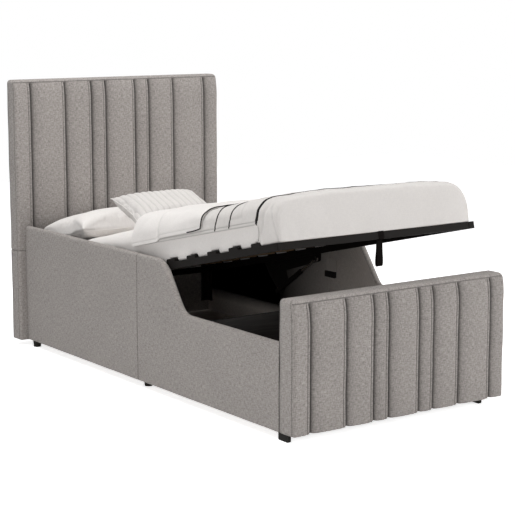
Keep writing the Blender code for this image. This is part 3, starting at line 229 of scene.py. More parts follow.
class SurfaceGroups:
    """Shader groups that several finishes share."""

    def __init__(self) -> None:
        """Build each group once."""
        self.weave = self.build_weave()
        self.scuff = self.build_scuff()
        self.grain = self.build_grain()
        self.crumple = self.build_crumple()

    def build_weave(self) -> NodeTree:
        """Plain weave: raised threads, uneven yarn flecks and slow drifts of tone.

        Returns:
            The group.
        """
        wire, start, end = new_tree(
            "Weave", "ShaderNodeTree",
            {"Vector": SocketKind.VECTOR, "Threads": 900.0, "Fleck Scale": 500.0},
            {"Height": SocketKind.NUMBER, "Fleck": SocketKind.NUMBER, "Drift": SocketKind.NUMBER},
        )
        vector, threads = start.outputs["Vector"], start.outputs["Threads"]
        turn = wire.sum("MULTIPLY", threads, math.pi)
        waves = [wire.sum("SINE", wire.sum("MULTIPLY", axis, turn)) for axis in list(wire.parts(vector))[:2]]
        warp, weft = (wire.sum("ABSOLUTE", wave) for wave in waves)
        crossing = wire.sum("MULTIPLY", waves[0], waves[1])
        over = wire.span(crossing, -0.08, 0.08)
        chosen = wire.sum("ADD", weft, wire.sum("MULTIPLY", over, wire.sum("SUBTRACT", warp, weft)))
        height = wire.sum("MULTIPLY", wire.sum("ADD", chosen, wire.sum("MULTIPLY", warp, weft)), 0.5)
        yarns = [
            wire.noise(wire.stretch(vector, factors), start.outputs["Fleck Scale"], 3.0, 0.65)
            for factors in ((1.0, 0.22, 1.0), (0.22, 1.0, 1.0))
        ]
        fleck = wire.sum("MULTIPLY", wire.sum("ADD", yarns[0], yarns[1]), 0.5)
        drift = wire.noise(vector, 5.0, 3.0)
        wire.feed(end, {"Height": height, "Fleck": wire.span(fleck, 0.36, 0.64), "Drift": drift})
        return wire.tree

    def build_scuff(self) -> NodeTree:
        """Patchy handling marks and dust on paint, plastic and steel.

        Returns:
            The group.
        """
        wire, start, end = new_tree(
            "Scuff", "ShaderNodeTree",
            {"Vector": SocketKind.VECTOR, "Scale": 30.0, "Amount": 0.5},
            {"Mask": SocketKind.NUMBER, "Height": SocketKind.NUMBER},
        )
        vector, scale = start.outputs["Vector"], start.outputs["Scale"]
        patches = wire.span(wire.noise(vector, scale, 6.0, 0.7), 0.5, 0.72)
        fine = wire.noise(vector, wire.sum("MULTIPLY", scale, 40.0), 2.0)
        marks = wire.sum("MULTIPLY", patches, wire.span(fine, 0.4, 0.7))
        mask = wire.sum("MULTIPLY", marks, start.outputs["Amount"], clamp=True)
        wire.feed(end, {"Mask": mask, "Height": fine})
        return wire.tree

    def build_grain(self) -> NodeTree:
        """Wood grain: long streaks, wavy rings and short pores.

        Returns:
            The group.
        """
        wire, start, end = new_tree(
            "Grain", "ShaderNodeTree",
            {"Vector": SocketKind.VECTOR, "Across": 60.0, "Along": 3.0},
            {"Mask": SocketKind.NUMBER, "Pores": SocketKind.NUMBER},
        )
        across, along = start.outputs["Across"], start.outputs["Along"]
        vector = wire.stretch(start.outputs["Vector"], wire.vector(along, across, across))
        streaks = wire.noise(vector, 1.0, 5.0, 0.6)
        rings = wire.sum("SINE", wire.sum("MULTIPLY", streaks, 22.0))
        mask = wire.sum("ADD", wire.sum("MULTIPLY", streaks, 0.6), wire.sum("MULTIPLY", rings, 0.2))
        wire.feed(end, {"Mask": mask, "Pores": wire.span(wire.noise(vector, 9.0, 2.0), 0.55, 0.75)})
        return wire.tree

    def build_crumple(self) -> NodeTree:
        """Soft creases of washed linen, as a height.

        Returns:
            The group.
        """
        wire, start, end = new_tree(
            "Crumple", "ShaderNodeTree",
            {"Vector": SocketKind.VECTOR, "Scale": 9.0},
            {"Height": SocketKind.NUMBER},
        )
        vector, scale = start.outputs["Vector"], start.outputs["Scale"]
        bend = wire.noise(vector, wire.sum("MULTIPLY", scale, 0.4), 2.0)
        pushed = wire.add("ShaderNodeVectorMath", {0: vector, 1: bend}, operation="ADD").outputs[0]
        ridges = wire.sum("ABSOLUTE", wire.sum("SUBTRACT", wire.noise(pushed, scale, 4.0, 0.55), 0.5))
        wire.feed(end, {"Height": wire.sum("SUBTRACT", 0.5, ridges)})
        return wire.tree


class Finish:
    """A material with one Principled shader, and the tools to feed it."""

    def __init__(
        self, name: str, roughness: float, metallic: float = 0.0, sheen: float = 0.0, specular: float = 0.5,
    ) -> None:
        """Start the material.

        Args:
            name: The material's name.
            roughness: Its roughness where nothing else feeds it.
            metallic: 1 for bare metal.
            sheen: The soft edge light of cloth.
            specular: How strongly it mirrors light.
        """
        self.material = bpy.data.materials.new(name)
        self.material.use_nodes = True
        self.wire = Wiring(self.material.node_tree)
        self.shader = self.material.node_tree.nodes["Principled BSDF"]
        inputs = {"Roughness": roughness, "Metallic": metallic, "Sheen Weight": sheen}
        self.wire.feed(self.shader, inputs | {"Specular IOR Level": specular})

    def place(self, on_cloth: bool) -> NodeSocket:
        """Give the coordinates: the cloth's own map, or the model's metres.

        Args:
            on_cloth: Whether the pattern follows the cloth.

        Returns:
            The coordinates.
        """
        if on_cloth:
            return self.wire.add("ShaderNodeUVMap", uv_map=CLOTH_MAP).outputs[0]
        return self.wire.add("ShaderNodeTexCoord").outputs["Object"]

    def group(self, tree: NodeTree, inputs: dict) -> Node:
        """Place a shader group and feed it."""
        return self.wire.add("ShaderNodeGroup", inputs, node_tree=tree)

    def feed(self, name: str, socket: NodeSocket) -> None:
        """Link a socket to the shader."""
        self.wire.feed(self.shader, {name: socket})

    def bump(self, height: NodeSocket, distance: float, strength: float = 1.0) -> None:
        """Raise the surface by a height pattern."""
        inputs = {"Height": height, "Distance": distance, "Strength": strength}
        self.feed("Normal", self.wire.add("ShaderNodeBump", inputs).outputs[0])


@dataclass(frozen=True)
class ClothFinish:
    """Woven cloth with two yarn tones, with painted shade in its creases and, where asked, a painted fade to
    black.
    """

    name: str
    light: Colour
    dark: Colour
    threads: float
    fleck_scale: float
    relief: float
    crumple: float = 0.0
    crumple_scale: float = 9.0
    crease_shade: float = 0.6
    drift: float = 0.12
    roughness: float = 0.9
    sheen: float = 0.15
    specular: float = 0.2
    mapped: bool = True
    # The fade is a Y range over which the colour is darkened to black, painted shade deeper inside the bed;
    # the height range after it is where that painted shade comes in, so the band below stays lighter, as
    # painted light from the floor.
    fade: tuple[float, float] | None = None
    painted_shade_heights: tuple[float, float] = (0.12, 0.17)

    def build(self, groups: SurfaceGroups) -> Material:
        """Build the material.

        Args:
            groups: The shared shader groups.

        Returns:
            The material.
        """
        finish = Finish(self.name, self.roughness, sheen=self.sheen, specular=self.specular)
        wire = finish.wire
        where = finish.place(self.mapped)
        weave = finish.group(
            groups.weave, {"Vector": where, "Threads": self.threads, "Fleck Scale": self.fleck_scale},
        )
        colour = wire.mix(weave.outputs["Fleck"], (*self.dark, 1.0), (*self.light, 1.0))
        shade = wire.span(weave.outputs["Drift"], 0.3, 0.7, self.drift, 0.0)
        # Painted shade: the crease attribute darkens the colour in creases, seams and grooves, on top of the
        # drift of tone.
        mark = wire.add("ShaderNodeAttribute", attribute_name=PAINTED_CREASE_SHADE).outputs["Fac"]
        shade = wire.sum("ADD", shade, wire.sum("MULTIPLY", mark, self.crease_shade), clamp=True)
        colour = wire.mix(shade, colour, tuple(0.25 * part for part in self.dark) + (1.0,))
        # Painted shade: darken to black towards +Y, except in the bottom band.
        if self.fade:
            place = wire.parts(finish.place(False))
            depth = wire.sum("MULTIPLY", wire.span(place[1], *self.fade), wire.span(place[2], *self.painted_shade_heights))
            colour = wire.mix(depth, colour, (0.0, 0.0, 0.0, 1.0))
        finish.feed("Base Color", colour)
        height = weave.outputs["Height"]
        if self.crumple:
            crumple = finish.group(groups.crumple, {"Vector": where, "Scale": self.crumple_scale})
            share = self.crumple / self.relief
            height = wire.sum("ADD", height, wire.sum("MULTIPLY", crumple.outputs["Height"], share))
        finish.bump(height, self.relief)
        return finish.material


@dataclass(frozen=True)
class HardFinish:
    """Paint, plastic or bare steel with handling marks."""

    name: str
    colour: Colour
    worn: Colour
    roughness: float
    metallic: float = 0.0
    scale: float = 18.0
    amount: float = 0.5
    relief: float = 0.00003
    specular: float = 0.06

    def build(self, groups: SurfaceGroups) -> Material:
        """Build the material.

        Args:
            groups: The shared shader groups.

        Returns:
            The material.
        """
        finish = Finish(self.name, self.roughness, self.metallic, specular=self.specular)
        wire = finish.wire
        scuff = finish.group(
            groups.scuff, {"Vector": finish.place(False), "Scale": self.scale, "Amount": self.amount},
        )
        mask = scuff.outputs["Mask"]
        finish.feed("Base Color", wire.mix(mask, (*self.colour, 1.0), (*self.worn, 1.0)))
        finish.feed("Roughness", wire.span(mask, 0.0, 1.0, self.roughness, min(1.0, self.roughness + 0.3)))
        finish.bump(scuff.outputs["Height"], self.relief)
        return finish.material


@dataclass(frozen=True)
class CoveredPlateFinish:
    """A dark block and screws on a plate that is covered like the panel behind it."""

    name: str
    cover: Colour
    steel: Colour
    block_top: float

    def build(self) -> Material:
        """Build the material.

        Returns:
            The material.
        """
        finish = Finish(self.name, 0.8, specular=0.2)
        wire = finish.wire
        place = wire.parts(finish.place(False))
        mask = wire.sum("LESS_THAN", place[2], self.block_top)
        finish.feed("Base Color", wire.mix(mask, (*self.cover, 1.0), (*self.steel, 1.0)))
        return finish.material


@dataclass(frozen=True)
class WoodFinish:
    """Sawn or faced wood with its grain along X."""

    name: str
    light: Colour
    dark: Colour
    roughness: float
    across: float = 90.0
    along: float = 4.0
    relief: float = 0.0001

    def build(self, groups: SurfaceGroups) -> Material:
        """Build the material.

        Args:
            groups: The shared shader groups.

        Returns:
            The material.
        """
        finish = Finish(self.name, self.roughness)
        wire = finish.wire
        grain = finish.group(
            groups.grain, {"Vector": finish.place(False), "Across": self.across, "Along": self.along},
        )
        pores = wire.sum("MULTIPLY", grain.outputs["Pores"], -0.2)
        mask = wire.sum("ADD", grain.outputs["Mask"], pores, clamp=True)
        finish.feed("Base Color", wire.mix(mask, (*self.dark, 1.0), (*self.light, 1.0)))
        finish.feed("Roughness", wire.span(mask, 0.0, 1.0, min(1.0, self.roughness + 0.15), self.roughness))
        finish.bump(mask, self.relief)
        return finish.material


class Paintbox:
    """Every material of the bed, built once."""

    def __init__(self) -> None:
        """Build the materials."""
        groups = SurfaceGroups()
        grey = ClothFinish(
            "heathered_upholstery", (0.500, 0.460, 0.434), (0.215, 0.195, 0.182), 620.0, 280.0, 0.0007,
            crease_shade=0.95, drift=0.08,
        )
        self.upholstery = grey.build(groups)
        self.thread = ClothFinish(
            "upholstery_thread", (0.20, 0.18, 0.165), (0.15, 0.135, 0.125), 2500.0, 900.0, 0.0001,
        ).build(groups)
        self.lining = ClothFinish(
            "dark_lining", (0.030, 0.025, 0.022), (0.016, 0.013, 0.012), 900.0, 700.0, 0.0002,
            mapped=False, sheen=0.0,
        ).build(groups)
        # The panels' inner faces: painted light in the colour, and painted shade fading it to black deeper
        # inside.
        self.panel_inner_painted_light_and_shade = ClothFinish(
            "panel_inner_painted_light_and_shade", PANEL_INNER_WITH_PAINTED_LIGHT, tuple(0.7 * part for part in PANEL_INNER_WITH_PAINTED_LIGHT), 700.0, 300.0, 0.0004,
            sheen=0.0, specular=0.0, fade=(-0.30, 0.38),
        ).build(groups)
        white, grey_white = (0.81, 0.778, 0.752), (0.745, 0.715, 0.692)
        self.sheet = ClothFinish(
            "fitted_sheet", white, grey_white, 1400.0, 300.0, 0.00012, crumple=0.0010, crumple_scale=6.0,
            drift=0.04, crease_shade=0.3,
        ).build(groups)
        # A greyer white than the sheet's, set lower to offset the stronger top light on the cover: painted
        # shade.
        self.cover = ClothFinish(
            "striped_cover", (0.680, 0.650, 0.627), (0.625, 0.598, 0.577), 1100.0, 260.0, 0.0002,
            crumple=0.0012, crumple_scale=5.0, drift=0.04, crease_shade=0.45,
        ).build(groups)
        self.pillowcase = ClothFinish(
            "pillowcase", white, grey_white, 1400.0, 300.0, 0.00012, crumple=0.0012, crumple_scale=9.0,
            drift=0.04, crease_shade=0.35,
        ).build(groups)
        self.stripe = ClothFinish(
            "stripe_cord", (0.016, 0.014, 0.013), (0.009, 0.008, 0.0075), 1500.0, 600.0, 0.0001, mapped=False,
            sheen=0.0,
        ).build(groups)
        self.webbing = ClothFinish(
            "black_webbing", (0.013, 0.011, 0.010), (0.006, 0.005, 0.005), 450.0, 300.0, 0.0005,
            sheen=0.0, specular=0.0,
        ).build(groups)
        self.enamel = HardFinish(
            "black_enamelled_steel", ENAMEL, (0.020, 0.018, 0.0165), 0.65, amount=0.4,
        ).build(groups)
        self.steel = HardFinish(
            "bright_steel", (0.62, 0.61, 0.60), (0.36, 0.35, 0.34), 0.22, 1.0, scale=60.0, specular=0.5,
        ).build(groups)
        self.plastic = HardFinish(
            "black_plastic", (0.014, 0.013, 0.012), (0.05, 0.046, 0.043), 0.5, scale=40.0,
        ).build(groups)
        self.slat = WoodFinish("slat_timber", (0.52, 0.37, 0.22), (0.34, 0.22, 0.12), 0.5).build(groups)
        self.timber = WoodFinish("batten_timber", (0.50, 0.36, 0.22), (0.32, 0.20, 0.11), 0.7).build(groups)
        self.board = WoodFinish("dark_board", (0.030, 0.026, 0.024), (0.015, 0.013, 0.012), 0.7).build(groups)
        self.floor = WoodFinish("floor_board", (0.62, 0.57, 0.53), (0.50, 0.455, 0.42), 0.7).build(groups)


@dataclass(frozen=True)
class SlatRow:
    """The sprung slats across the platform."""

    count: int = 12
    first: float = 0.1327
    pitch: float = 0.1484
    length: float = 0.9458
    width: float = 0.0522
    thickness: float = 0.0076
    crown: float = 0.005
    bottom: float = 0.0031

    def places(self) -> np.ndarray:
        """Distances of the slats' centre lines from the platform's foot end."""
        return self.first + self.pitch * np.arange(self.count)


@dataclass(frozen=True)
class PlatformFrame:
    """Where the platform's own closed frame lies at rest."""

    pivot: Vector
    tilt: float
    foot_reach: float = 1.322
    depth: float = 0.060
    slats: SlatRow = SlatRow()

    def matrix(self) -> Matrix:
        """Give the matrix from (x, distance from the foot end, height above the frame) to the model."""
        shift = Matrix.Translation((0, -self.foot_reach, self.depth))
        return Matrix.Translation(self.pivot) @ Matrix.Rotation(-self.tilt, 4, "X") @ shift

    def place(self, points: np.ndarray) -> np.ndarray:
        """Move platform points into the model."""
        matrix = np.array(self.matrix())
        return points @ matrix[:3, :3].T + matrix[:3, 3]


def platform_frame() -> PlatformFrame:
    """Read the platform's hinge from the frame."""
    lift = next(joint for joint in frame["joints"] if joint["name"] == "platform_lift")
    return PlatformFrame(Vector(lift["pos_m"]), math.radians(-lift["range_deg"][0]))


def ripple(points: np.ndarray, wavelength: float, seed: int) -> np.ndarray:
    """Smooth unevenness of about unit size.

    Args:
        points: Points whose last axis is a place in metres.
        wavelength: The usual distance from crest to crest.
        seed: Which pattern.

    Returns:
        One value for each point.
    """
    random = np.random.default_rng(seed)
    total = np.zeros(points.shape[:-1])
    waves = 9
    for _ in range(waves):
        direction = random.normal(size=points.shape[-1])
        direction *= 2 * math.pi / wavelength * random.uniform(0.6, 1.5) / np.linalg.norm(direction)
        total += np.sin(points @ direction + random.uniform(0, 2 * math.pi))
    return total * math.sqrt(2 / waves)


def bell(distance: np.ndarray, width: float) -> np.ndarray:
    """Fall off smoothly on both sides of distance zero, where it is 1."""
    return np.exp(-((distance / width) ** 2))


def lengths_along(points: np.ndarray, axis: int = 0) -> np.ndarray:
    """Distances over a row of points from its first one."""
    steps = np.linalg.norm(np.diff(points, axis=axis), axis=-1)
    return np.concatenate([np.zeros_like(steps.take([0], axis)), np.cumsum(steps, axis)], axis)


def from_middle(points: np.ndarray) -> np.ndarray:
    """Distances over each row of points from its middle one."""
    lengths = lengths_along(points, 1)
    return lengths - lengths[:, [lengths.shape[1] // 2]]


def both_halves(line: np.ndarray) -> np.ndarray:
    """Carry half an outline, which ends in the middle, on to the other side."""
    return np.concatenate([line, line[-2::-1] * (-1, 1)])


def upright(outline: np.ndarray, along: float) -> np.ndarray:
    """Stand an outline of x and height at a distance along the bed."""
    return np.stack([outline[:, 0], np.full(len(outline), along), outline[:, 1]], -1)


def rounding(height: float, top: float, radius: float) -> float:
    """How far a rounded edge below the top stands back at a height."""
    near = max(0.0, (height - top + radius) / radius)
    return radius * (1 - math.sqrt(max(0.0, 1 - near * near)))


def place_object(name: str, data: ID) -> Object:
    """Put an object with this data into the scene, at the origin.

    Args:
        name: Its name.
        data: Its mesh, lamp or camera.

    Returns:
        The object.
    """
    made = bpy.data.objects.new(name, data)
    bpy.context.scene.collection.objects.link(made)
    return made


def skin(
    name: str, points: np.ndarray, uv: np.ndarray, wrap: bool = True, caps: bool = True,
    mark: np.ndarray | None = None, zones: np.ndarray | None = None,
) -> Object:
    """Make a surface through rows of points, its faces pointing outwards.

    Args:
        name: The object's name.
        points: Rows of points, each row as long as the others.
        uv: The cloth map's place for each point, in metres, with one more column where rows wrap.
        wrap: Whether each row closes on itself.
        caps: Whether the first and last rows are filled.
        mark: How much painted shade each point gets in creases, seams and grooves, from 0 to 1.
        zones: The material number of each column of faces.

    Returns:
        The object, at the origin.
    """
    rows, columns = points.shape[:2]
    span = columns if wrap else columns - 1
    r, c = np.meshgrid(np.arange(rows - 1), np.arange(span), indexing="ij")
    after = (c + 1) % columns
    corners = [r * columns + c, r * columns + after, (r + 1) * columns + after, (r + 1) * columns + c]
    quads = np.stack(corners, -1).reshape(-1, 4)
    spread = np.stack([uv[r, c], uv[r, c + 1], uv[r + 1, c + 1], uv[r + 1, c]], 2).reshape(-1, 4, 2)
    flat = points.reshape(-1, 3)
    a, b, d, e = (flat[quads[:, i]] for i in range(4))
    volume = np.einsum("ij,ij->i", a, np.cross(b, d)).sum() + np.einsum("ij,ij->i", a, np.cross(d, e)).sum()
    polygons = [list(map(int, quad)) for quad in quads]
    maps = [list(map(tuple, corner)) for corner in spread]
    if caps:
        for row, step in ((0, -1), (rows - 1, 1)):
            ring = list(range(columns))[::step]
            polygons.append([row * columns + i for i in ring])
            maps.append([tuple(uv[row, i]) for i in ring])
    if volume < 0:
        polygons = [polygon[::-1] for polygon in polygons]
        maps = [corner[::-1] for corner in maps]
    mesh = bpy.data.meshes.new(name)
    mesh.from_pydata(flat.tolist(), [], polygons)
    layer = mesh.uv_layers.new(name=CLOTH_MAP)
    layer.data.foreach_set("uv", np.array([part for corner in maps for place in corner for part in place]))
    if mark is not None:
        attribute = mesh.attributes.new(PAINTED_CREASE_SHADE, "FLOAT", "POINT")
        attribute.data.foreach_set("value", mark.reshape(-1).astype(np.float32))
    if zones is not None:
        numbers = np.zeros(len(polygons), np.int32)
        numbers[: len(quads)] = np.broadcast_to(zones, (rows - 1, span)).reshape(-1)
        mesh.polygons.foreach_set("material_index", numbers)
    mesh.shade_smooth()
    mesh.update()
    return place_object(name, mesh)


def settle(piece: Object, body: Body, materials: Sequence[Material]) -> None:
    """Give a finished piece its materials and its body.

    Args:
        piece: The piece, in place.
        body: The body that carries it.
        materials: Its materials, in the order of its zones.
    """
    if not piece.data.materials:
        for material in materials:
            piece.data.materials.append(material)
    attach(piece, body.value)
    log.info("%s: %d faces", piece.name, len(piece.data.polygons))


def plain_mesh(piece: Object) -> None:
    """Turn an object with live modifiers into its plain result.

    Args:
        piece: The object.
    """
    result = bpy.data.meshes.new_from_object(piece.evaluated_get(bpy.context.evaluated_depsgraph_get()))
    piece.modifiers.clear()
    piece.data = result


def polyline(name: str, runs: Sequence[np.ndarray], closed: bool = False) -> Object:
    """Make an object of bare edges.

    Args:
        name: The object's name.
        runs: Each run's points, in order.
        closed: Whether each run returns to its start.

    Returns:
        The object.
    """
    points, edges = [], []
    for run in runs:
        first = len(points)
        points += [tuple(map(float, point)) for point in run]
        edges += [(i, i + 1) for i in range(first, len(points) - 1)]
        if closed:
            edges.append((len(points) - 1, first))
    mesh = bpy.data.meshes.new(name)
    mesh.from_pydata(points, edges, [])
    return place_object(name, mesh)


def grow(piece: Object, tree: NodeTree, values: dict[str, Value]) -> Object:
    """Run a Geometry Nodes tree on an object and keep its result as a plain mesh.

    Args:
        piece: The object that carries the path or the points.
        tree: The tree.
        values: A value for each of its named inputs.

    Returns:
        The same object with its new mesh.
    """
    modifier = piece.modifiers.new(tree.name, "NODES")
    modifier.node_group = tree
    for item in tree.interface.items_tree:
        if item.item_type == "SOCKET" and item.in_out == "INPUT" and item.name in values:
            modifier[item.identifier] = values[item.name]
    bpy.context.view_layer.update()
    plain_mesh(piece)
    return piece


class GrowingTrees:
    """Geometry Nodes trees for what repeats or follows a path."""

    def __init__(self) -> None:
        """Build each tree once."""
        self.stitches = self.build_stitches()
        self.piping = self.build_piping()
        self.slats = self.build_slats()

    def end_with(
        self, wire: Wiring, shape: Value, start: Node, end: Node,
    ) -> NodeTree:
        """Realise, shade smooth and dress a tree's shape.

        Args:
            wire: The tree's wiring.
            shape: The shape's socket.
            start: The group's input node.
            end: The group's output node.

        Returns:
            The tree.
        """
        real = wire.add("GeometryNodeRealizeInstances", {0: shape}).outputs[0]
        smooth = wire.add("GeometryNodeSetShadeSmooth", {"Geometry": real}).outputs[0]
        material = start.outputs["Material"]
        dressed = wire.add("GeometryNodeSetMaterial", {"Geometry": smooth, "Material": material})
        wire.feed(end, {0: dressed.outputs[0]})
        return wire.tree

    def build_stitches(self) -> NodeTree:
        """Short raised stitches along a path.

        Returns:
            The tree.
        """
        wire, start, end = new_tree(
            "Stitches", "GeometryNodeTree",
            {"Geometry": SocketKind.GEOMETRY, "Pitch": 0.006, "Stitch": 0.004, "Thread": 0.0009,
             "Material": SocketKind.MATERIAL},
            {"Geometry": SocketKind.GEOMETRY},
        )
        path = wire.add("GeometryNodeMeshToCurve", {0: start.outputs["Geometry"]}).outputs[0]
        pitch = start.outputs["Pitch"]
        even = wire.add("GeometryNodeResampleCurve", {"Curve": path, "Length": pitch}, mode="LENGTH")
        tangent = wire.add("GeometryNodeInputTangent").outputs[0]
        turned = wire.add("FunctionNodeAlignRotationToVector", {"Vector": tangent}, axis="Z").outputs[0]
        thread = start.outputs["Thread"]
        size = wire.vector(thread, thread, start.outputs["Stitch"])
        bead = wire.add("GeometryNodeMeshUVSphere", {"Segments": 6, "Rings": 4, "Radius": 0.5}).outputs[0]
        placed = wire.add(
            "GeometryNodeInstanceOnPoints",
            {"Points": even.outputs[0], "Instance": bead, "Rotation": turned, "Scale": size},
        )
        return self.end_with(wire, placed.outputs[0], start, end)

    def build_piping(self) -> NodeTree:
        """A round cord of cloth along a path.

        Returns:
            The tree.
        """
        wire, start, end = new_tree(
            "Piping", "GeometryNodeTree",
            {"Geometry": SocketKind.GEOMETRY, "Radius": 0.002, "Sides": 8, "Material": SocketKind.MATERIAL},
            {"Geometry": SocketKind.GEOMETRY},
        )
        path = wire.add("GeometryNodeMeshToCurve", {0: start.outputs["Geometry"]}).outputs[0]
        ring = wire.add(
            "GeometryNodeCurvePrimitiveCircle",
            {"Resolution": start.outputs["Sides"], "Radius": start.outputs["Radius"]}, mode="RADIUS",
        )
        tube = wire.add("GeometryNodeCurveToMesh", {"Curve": path, "Profile Curve": ring.outputs[0]})
        return self.end_with(wire, tube.outputs[0], start, end)

    def build_slats(self) -> NodeTree:
        """Bowed slats in a row along Y, with rounded edges.

        Returns:
            The tree.
        """
        wire, start, end = new_tree(
            "Sprung slats", "GeometryNodeTree",
            {"Geometry": SocketKind.GEOMETRY, "Count": 12, "Pitch": 0.15, "Length": 0.9, "Width": 0.05,
             "Thickness": 0.008, "Crown": 0.005, "Material": SocketKind.MATERIAL},
            {"Geometry": SocketKind.GEOMETRY},
        )
        get = start.outputs
        size = wire.vector(get["Length"], get["Width"], get["Thickness"])
        bar = wire.add(
            "GeometryNodeMeshCube", {"Size": size, "Vertices X": 33, "Vertices Y": 9, "Vertices Z": 4},
        ).outputs["Mesh"]
        place = wire.parts(wire.add("GeometryNodeInputPosition").outputs[0])
        reach = wire.sum("DIVIDE", place[0], wire.sum("MULTIPLY", get["Length"], 0.5))
        fall = wire.sum("SUBTRACT", 1.0, wire.sum("MULTIPLY", reach, reach))
        bow = wire.sum("MULTIPLY", get["Crown"], fall)
        edge = wire.sum("ABSOLUTE", wire.sum("DIVIDE", place[1], wire.sum("MULTIPLY", get["Width"], 0.5)))
        pinch = wire.span(wire.sum("POWER", edge, 24.0), 0.0, 1.0, 0.0, 0.55)
        squeezed = wire.sum("MULTIPLY", place[2], wire.sum("SUBTRACT", 1.0, pinch))
        lifted = wire.vector(place[0], place[1], wire.sum("ADD", squeezed, bow))
        bowed = wire.add("GeometryNodeSetPosition", {"Geometry": bar, "Position": lifted}).outputs[0]
        step = wire.vector(y=get["Pitch"])
        row = wire.add("GeometryNodeMeshLine", {"Count": get["Count"], "Offset": step}).outputs[0]
        placed = wire.add("GeometryNodeInstanceOnPoints", {"Points": row, "Instance": bowed})
        return self.end_with(wire, placed.outputs[0], start, end)


@dataclass
class FlutedBoard:
    """An upholstered board: a front of sewn channels, a plain boxing round it and rounded edges."""

    node: str
    fluted: bool = True
    sweep: float = 0.0
    sweep_height: float = 0.110
    channel_shares: tuple[float, ...] = (0.0735, 0.160, 0.125, 0.0695, 0.144, 0.0695, 0.125, 0.160, 0.0735)
    crease_depth: float = 0.017
    near_rise: float = 0.0065
    far_rise: float = 0.023
    scallop: float = 0.006
    bead: float = 0.013
    edge_radius: float = 0.014
    corner_radius: float = 0.018
    back_radius: float = 0.005
    seam_drop: float = 0.012
    seam_depth: float = 0.0022
    wall_width: float = 0.0016
    sag_share: float = 0.16
    stitch_share: float = 0.16
    stitch_width: float = 0.0017
    shade_before: float = 0.0034
    shade_after: float = 0.0105
    shade_tail: float = 0.025
    roll: float = 0.006
    row_step: float = 0.007
    seed: int = 1
    low: Vector = field(init=False)
    high: Vector = field(init=False)

    def __post_init__(self) -> None:
        """Take the board's box from the frame."""
        self.low, self.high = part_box(self.node)

    @property
    def half(self) -> float:
        """Half the board's width."""
        return (self.high.x - self.low.x) / 2

    @property
    def thickness(self) -> float:
        """The pad's depth from front to back."""
        return self.high.y - self.low.y

    def creases(self) -> np.ndarray:
        """Where the channels meet, across the width."""
        places = np.cumsum(self.channel_shares)[:-1] / sum(self.channel_shares)
        return -self.half + 2 * self.half * places

    def flute(self, x: np.ndarray) -> tuple[np.ndarray, np.ndarray]:
        """Work out the channels' relief.

        Args:
            x: Places across the width.

        Returns:
            The depth behind the face, and the painted shade of each place: dark in the creases, with a tail
            beside them and a line along the stitches.
        """
        depth, shade = np.zeros_like(x), np.zeros_like(x)
        for crease in self.creases():
            right = np.clip(x - crease, 0, None)
            left = np.clip(crease - x, 0, None)
            soft = 0.5 * (np.exp(-right / self.near_rise) + np.exp(-right / self.far_rise))
            soft *= self.crease_depth * (x >= crease)
            wall = self.crease_depth * np.exp(-left / self.wall_width) * (x < crease)
            sag = self.sag_share * self.crease_depth * bell(left - 0.4 * self.bead, self.bead) * (x < crease)
            stitch = self.stitch_share * self.crease_depth * bell(left - self.bead, self.stitch_width)
            depth = np.maximum(depth, np.maximum(soft, np.maximum(wall, sag)) + stitch)
            # Painted shade: dark at each crease, fading over the channel to its right, and a line along the
            # stitch.
            near = bell(left, self.shade_before) * (x < crease)
            far = 0.55 * bell(right, self.shade_after) + 0.45 * np.exp(-right / self.shade_tail)
            near += far * (x >= crease)
            shade = np.maximum(shade, near)
            shade = np.maximum(shade, 0.55 * bell(left - self.bead, 0.0022))
        return depth, shade

    def front_columns(self) -> np.ndarray:
        """Places across the front, close together where the relief is steep.

        Returns:
            The places, from left to right.
        """
        start = -self.half + self.edge_radius
        steps = [np.linspace(start, -start, int(-2 * start / 0.010))]
        if self.fluted:
            behind = (-26, -19, -16.5, -15, -14, -13, -12, -11, -9, -7, -5, -3.4, -2.2, -1.2, -0.5)
            ahead = (0, 0.5, 1.4, 2.6, 4, 6, 8.5, 11.5, 15, 19, 24, 30)
            steps += [crease + np.array(behind + ahead) / 1000 for crease in self.creases()]
        merged = np.unique(np.concatenate(steps))
        merged = merged[(merged >= start) & (merged <= -start)]
        keep = np.concatenate([[True], np.diff(merged) > 0.0004])
        return merged[keep]

    def ring(self) -> tuple[np.ndarray, np.ndarray, np.ndarray, np.ndarray]:
        """The outline from the back left corner round the front to the back right corner.

        Returns:
            The points as x and depth, their outward directions, the relief inwards and the painted shade of
            the creases and the side seams.
        """
        radius = self.edge_radius
        seam = radius + 0.001
        side = [self.thickness, 0.75 * self.thickness, 0.5 * self.thickness, seam + 0.012, seam + 0.005]
        side += [seam + 0.0022, seam + 0.001, seam, seam - 0.001]
        left = [(-self.half, depth, -1.0, 0.0) for depth in side]
        for angle in np.linspace(0, math.pi / 2, 9)[1:-1]:
            c, s = math.cos(angle), math.sin(angle)
            left.append((-self.half + radius * (1 - c), radius * (1 - s), -c, -s))
        front = self.front_columns()
        relief, shade = self.flute(front) if self.fluted else (np.zeros_like(front), np.zeros_like(front))
        middle = [(x, 0.0, 0.0, -1.0) for x in front]
        right = [(-x, depth, -nx, nd) for x, depth, nx, nd in left[::-1]]
        ring = np.array(left + middle + right)
        inward, mark = np.zeros(len(ring)), np.zeros(len(ring))
        inward[len(left): len(left) + len(front)] = relief
        mark[len(left): len(left) + len(front)] = shade
        on_side = np.abs(ring[:, 2]) > 0.9
        groove = bell(ring[:, 1] - seam, 0.0013) * on_side
        # Painted shade in the groove of the side seam.
        return ring[:, :2], ring[:, 2:], inward + self.seam_depth * groove, np.maximum(mark, 0.8 * groove)

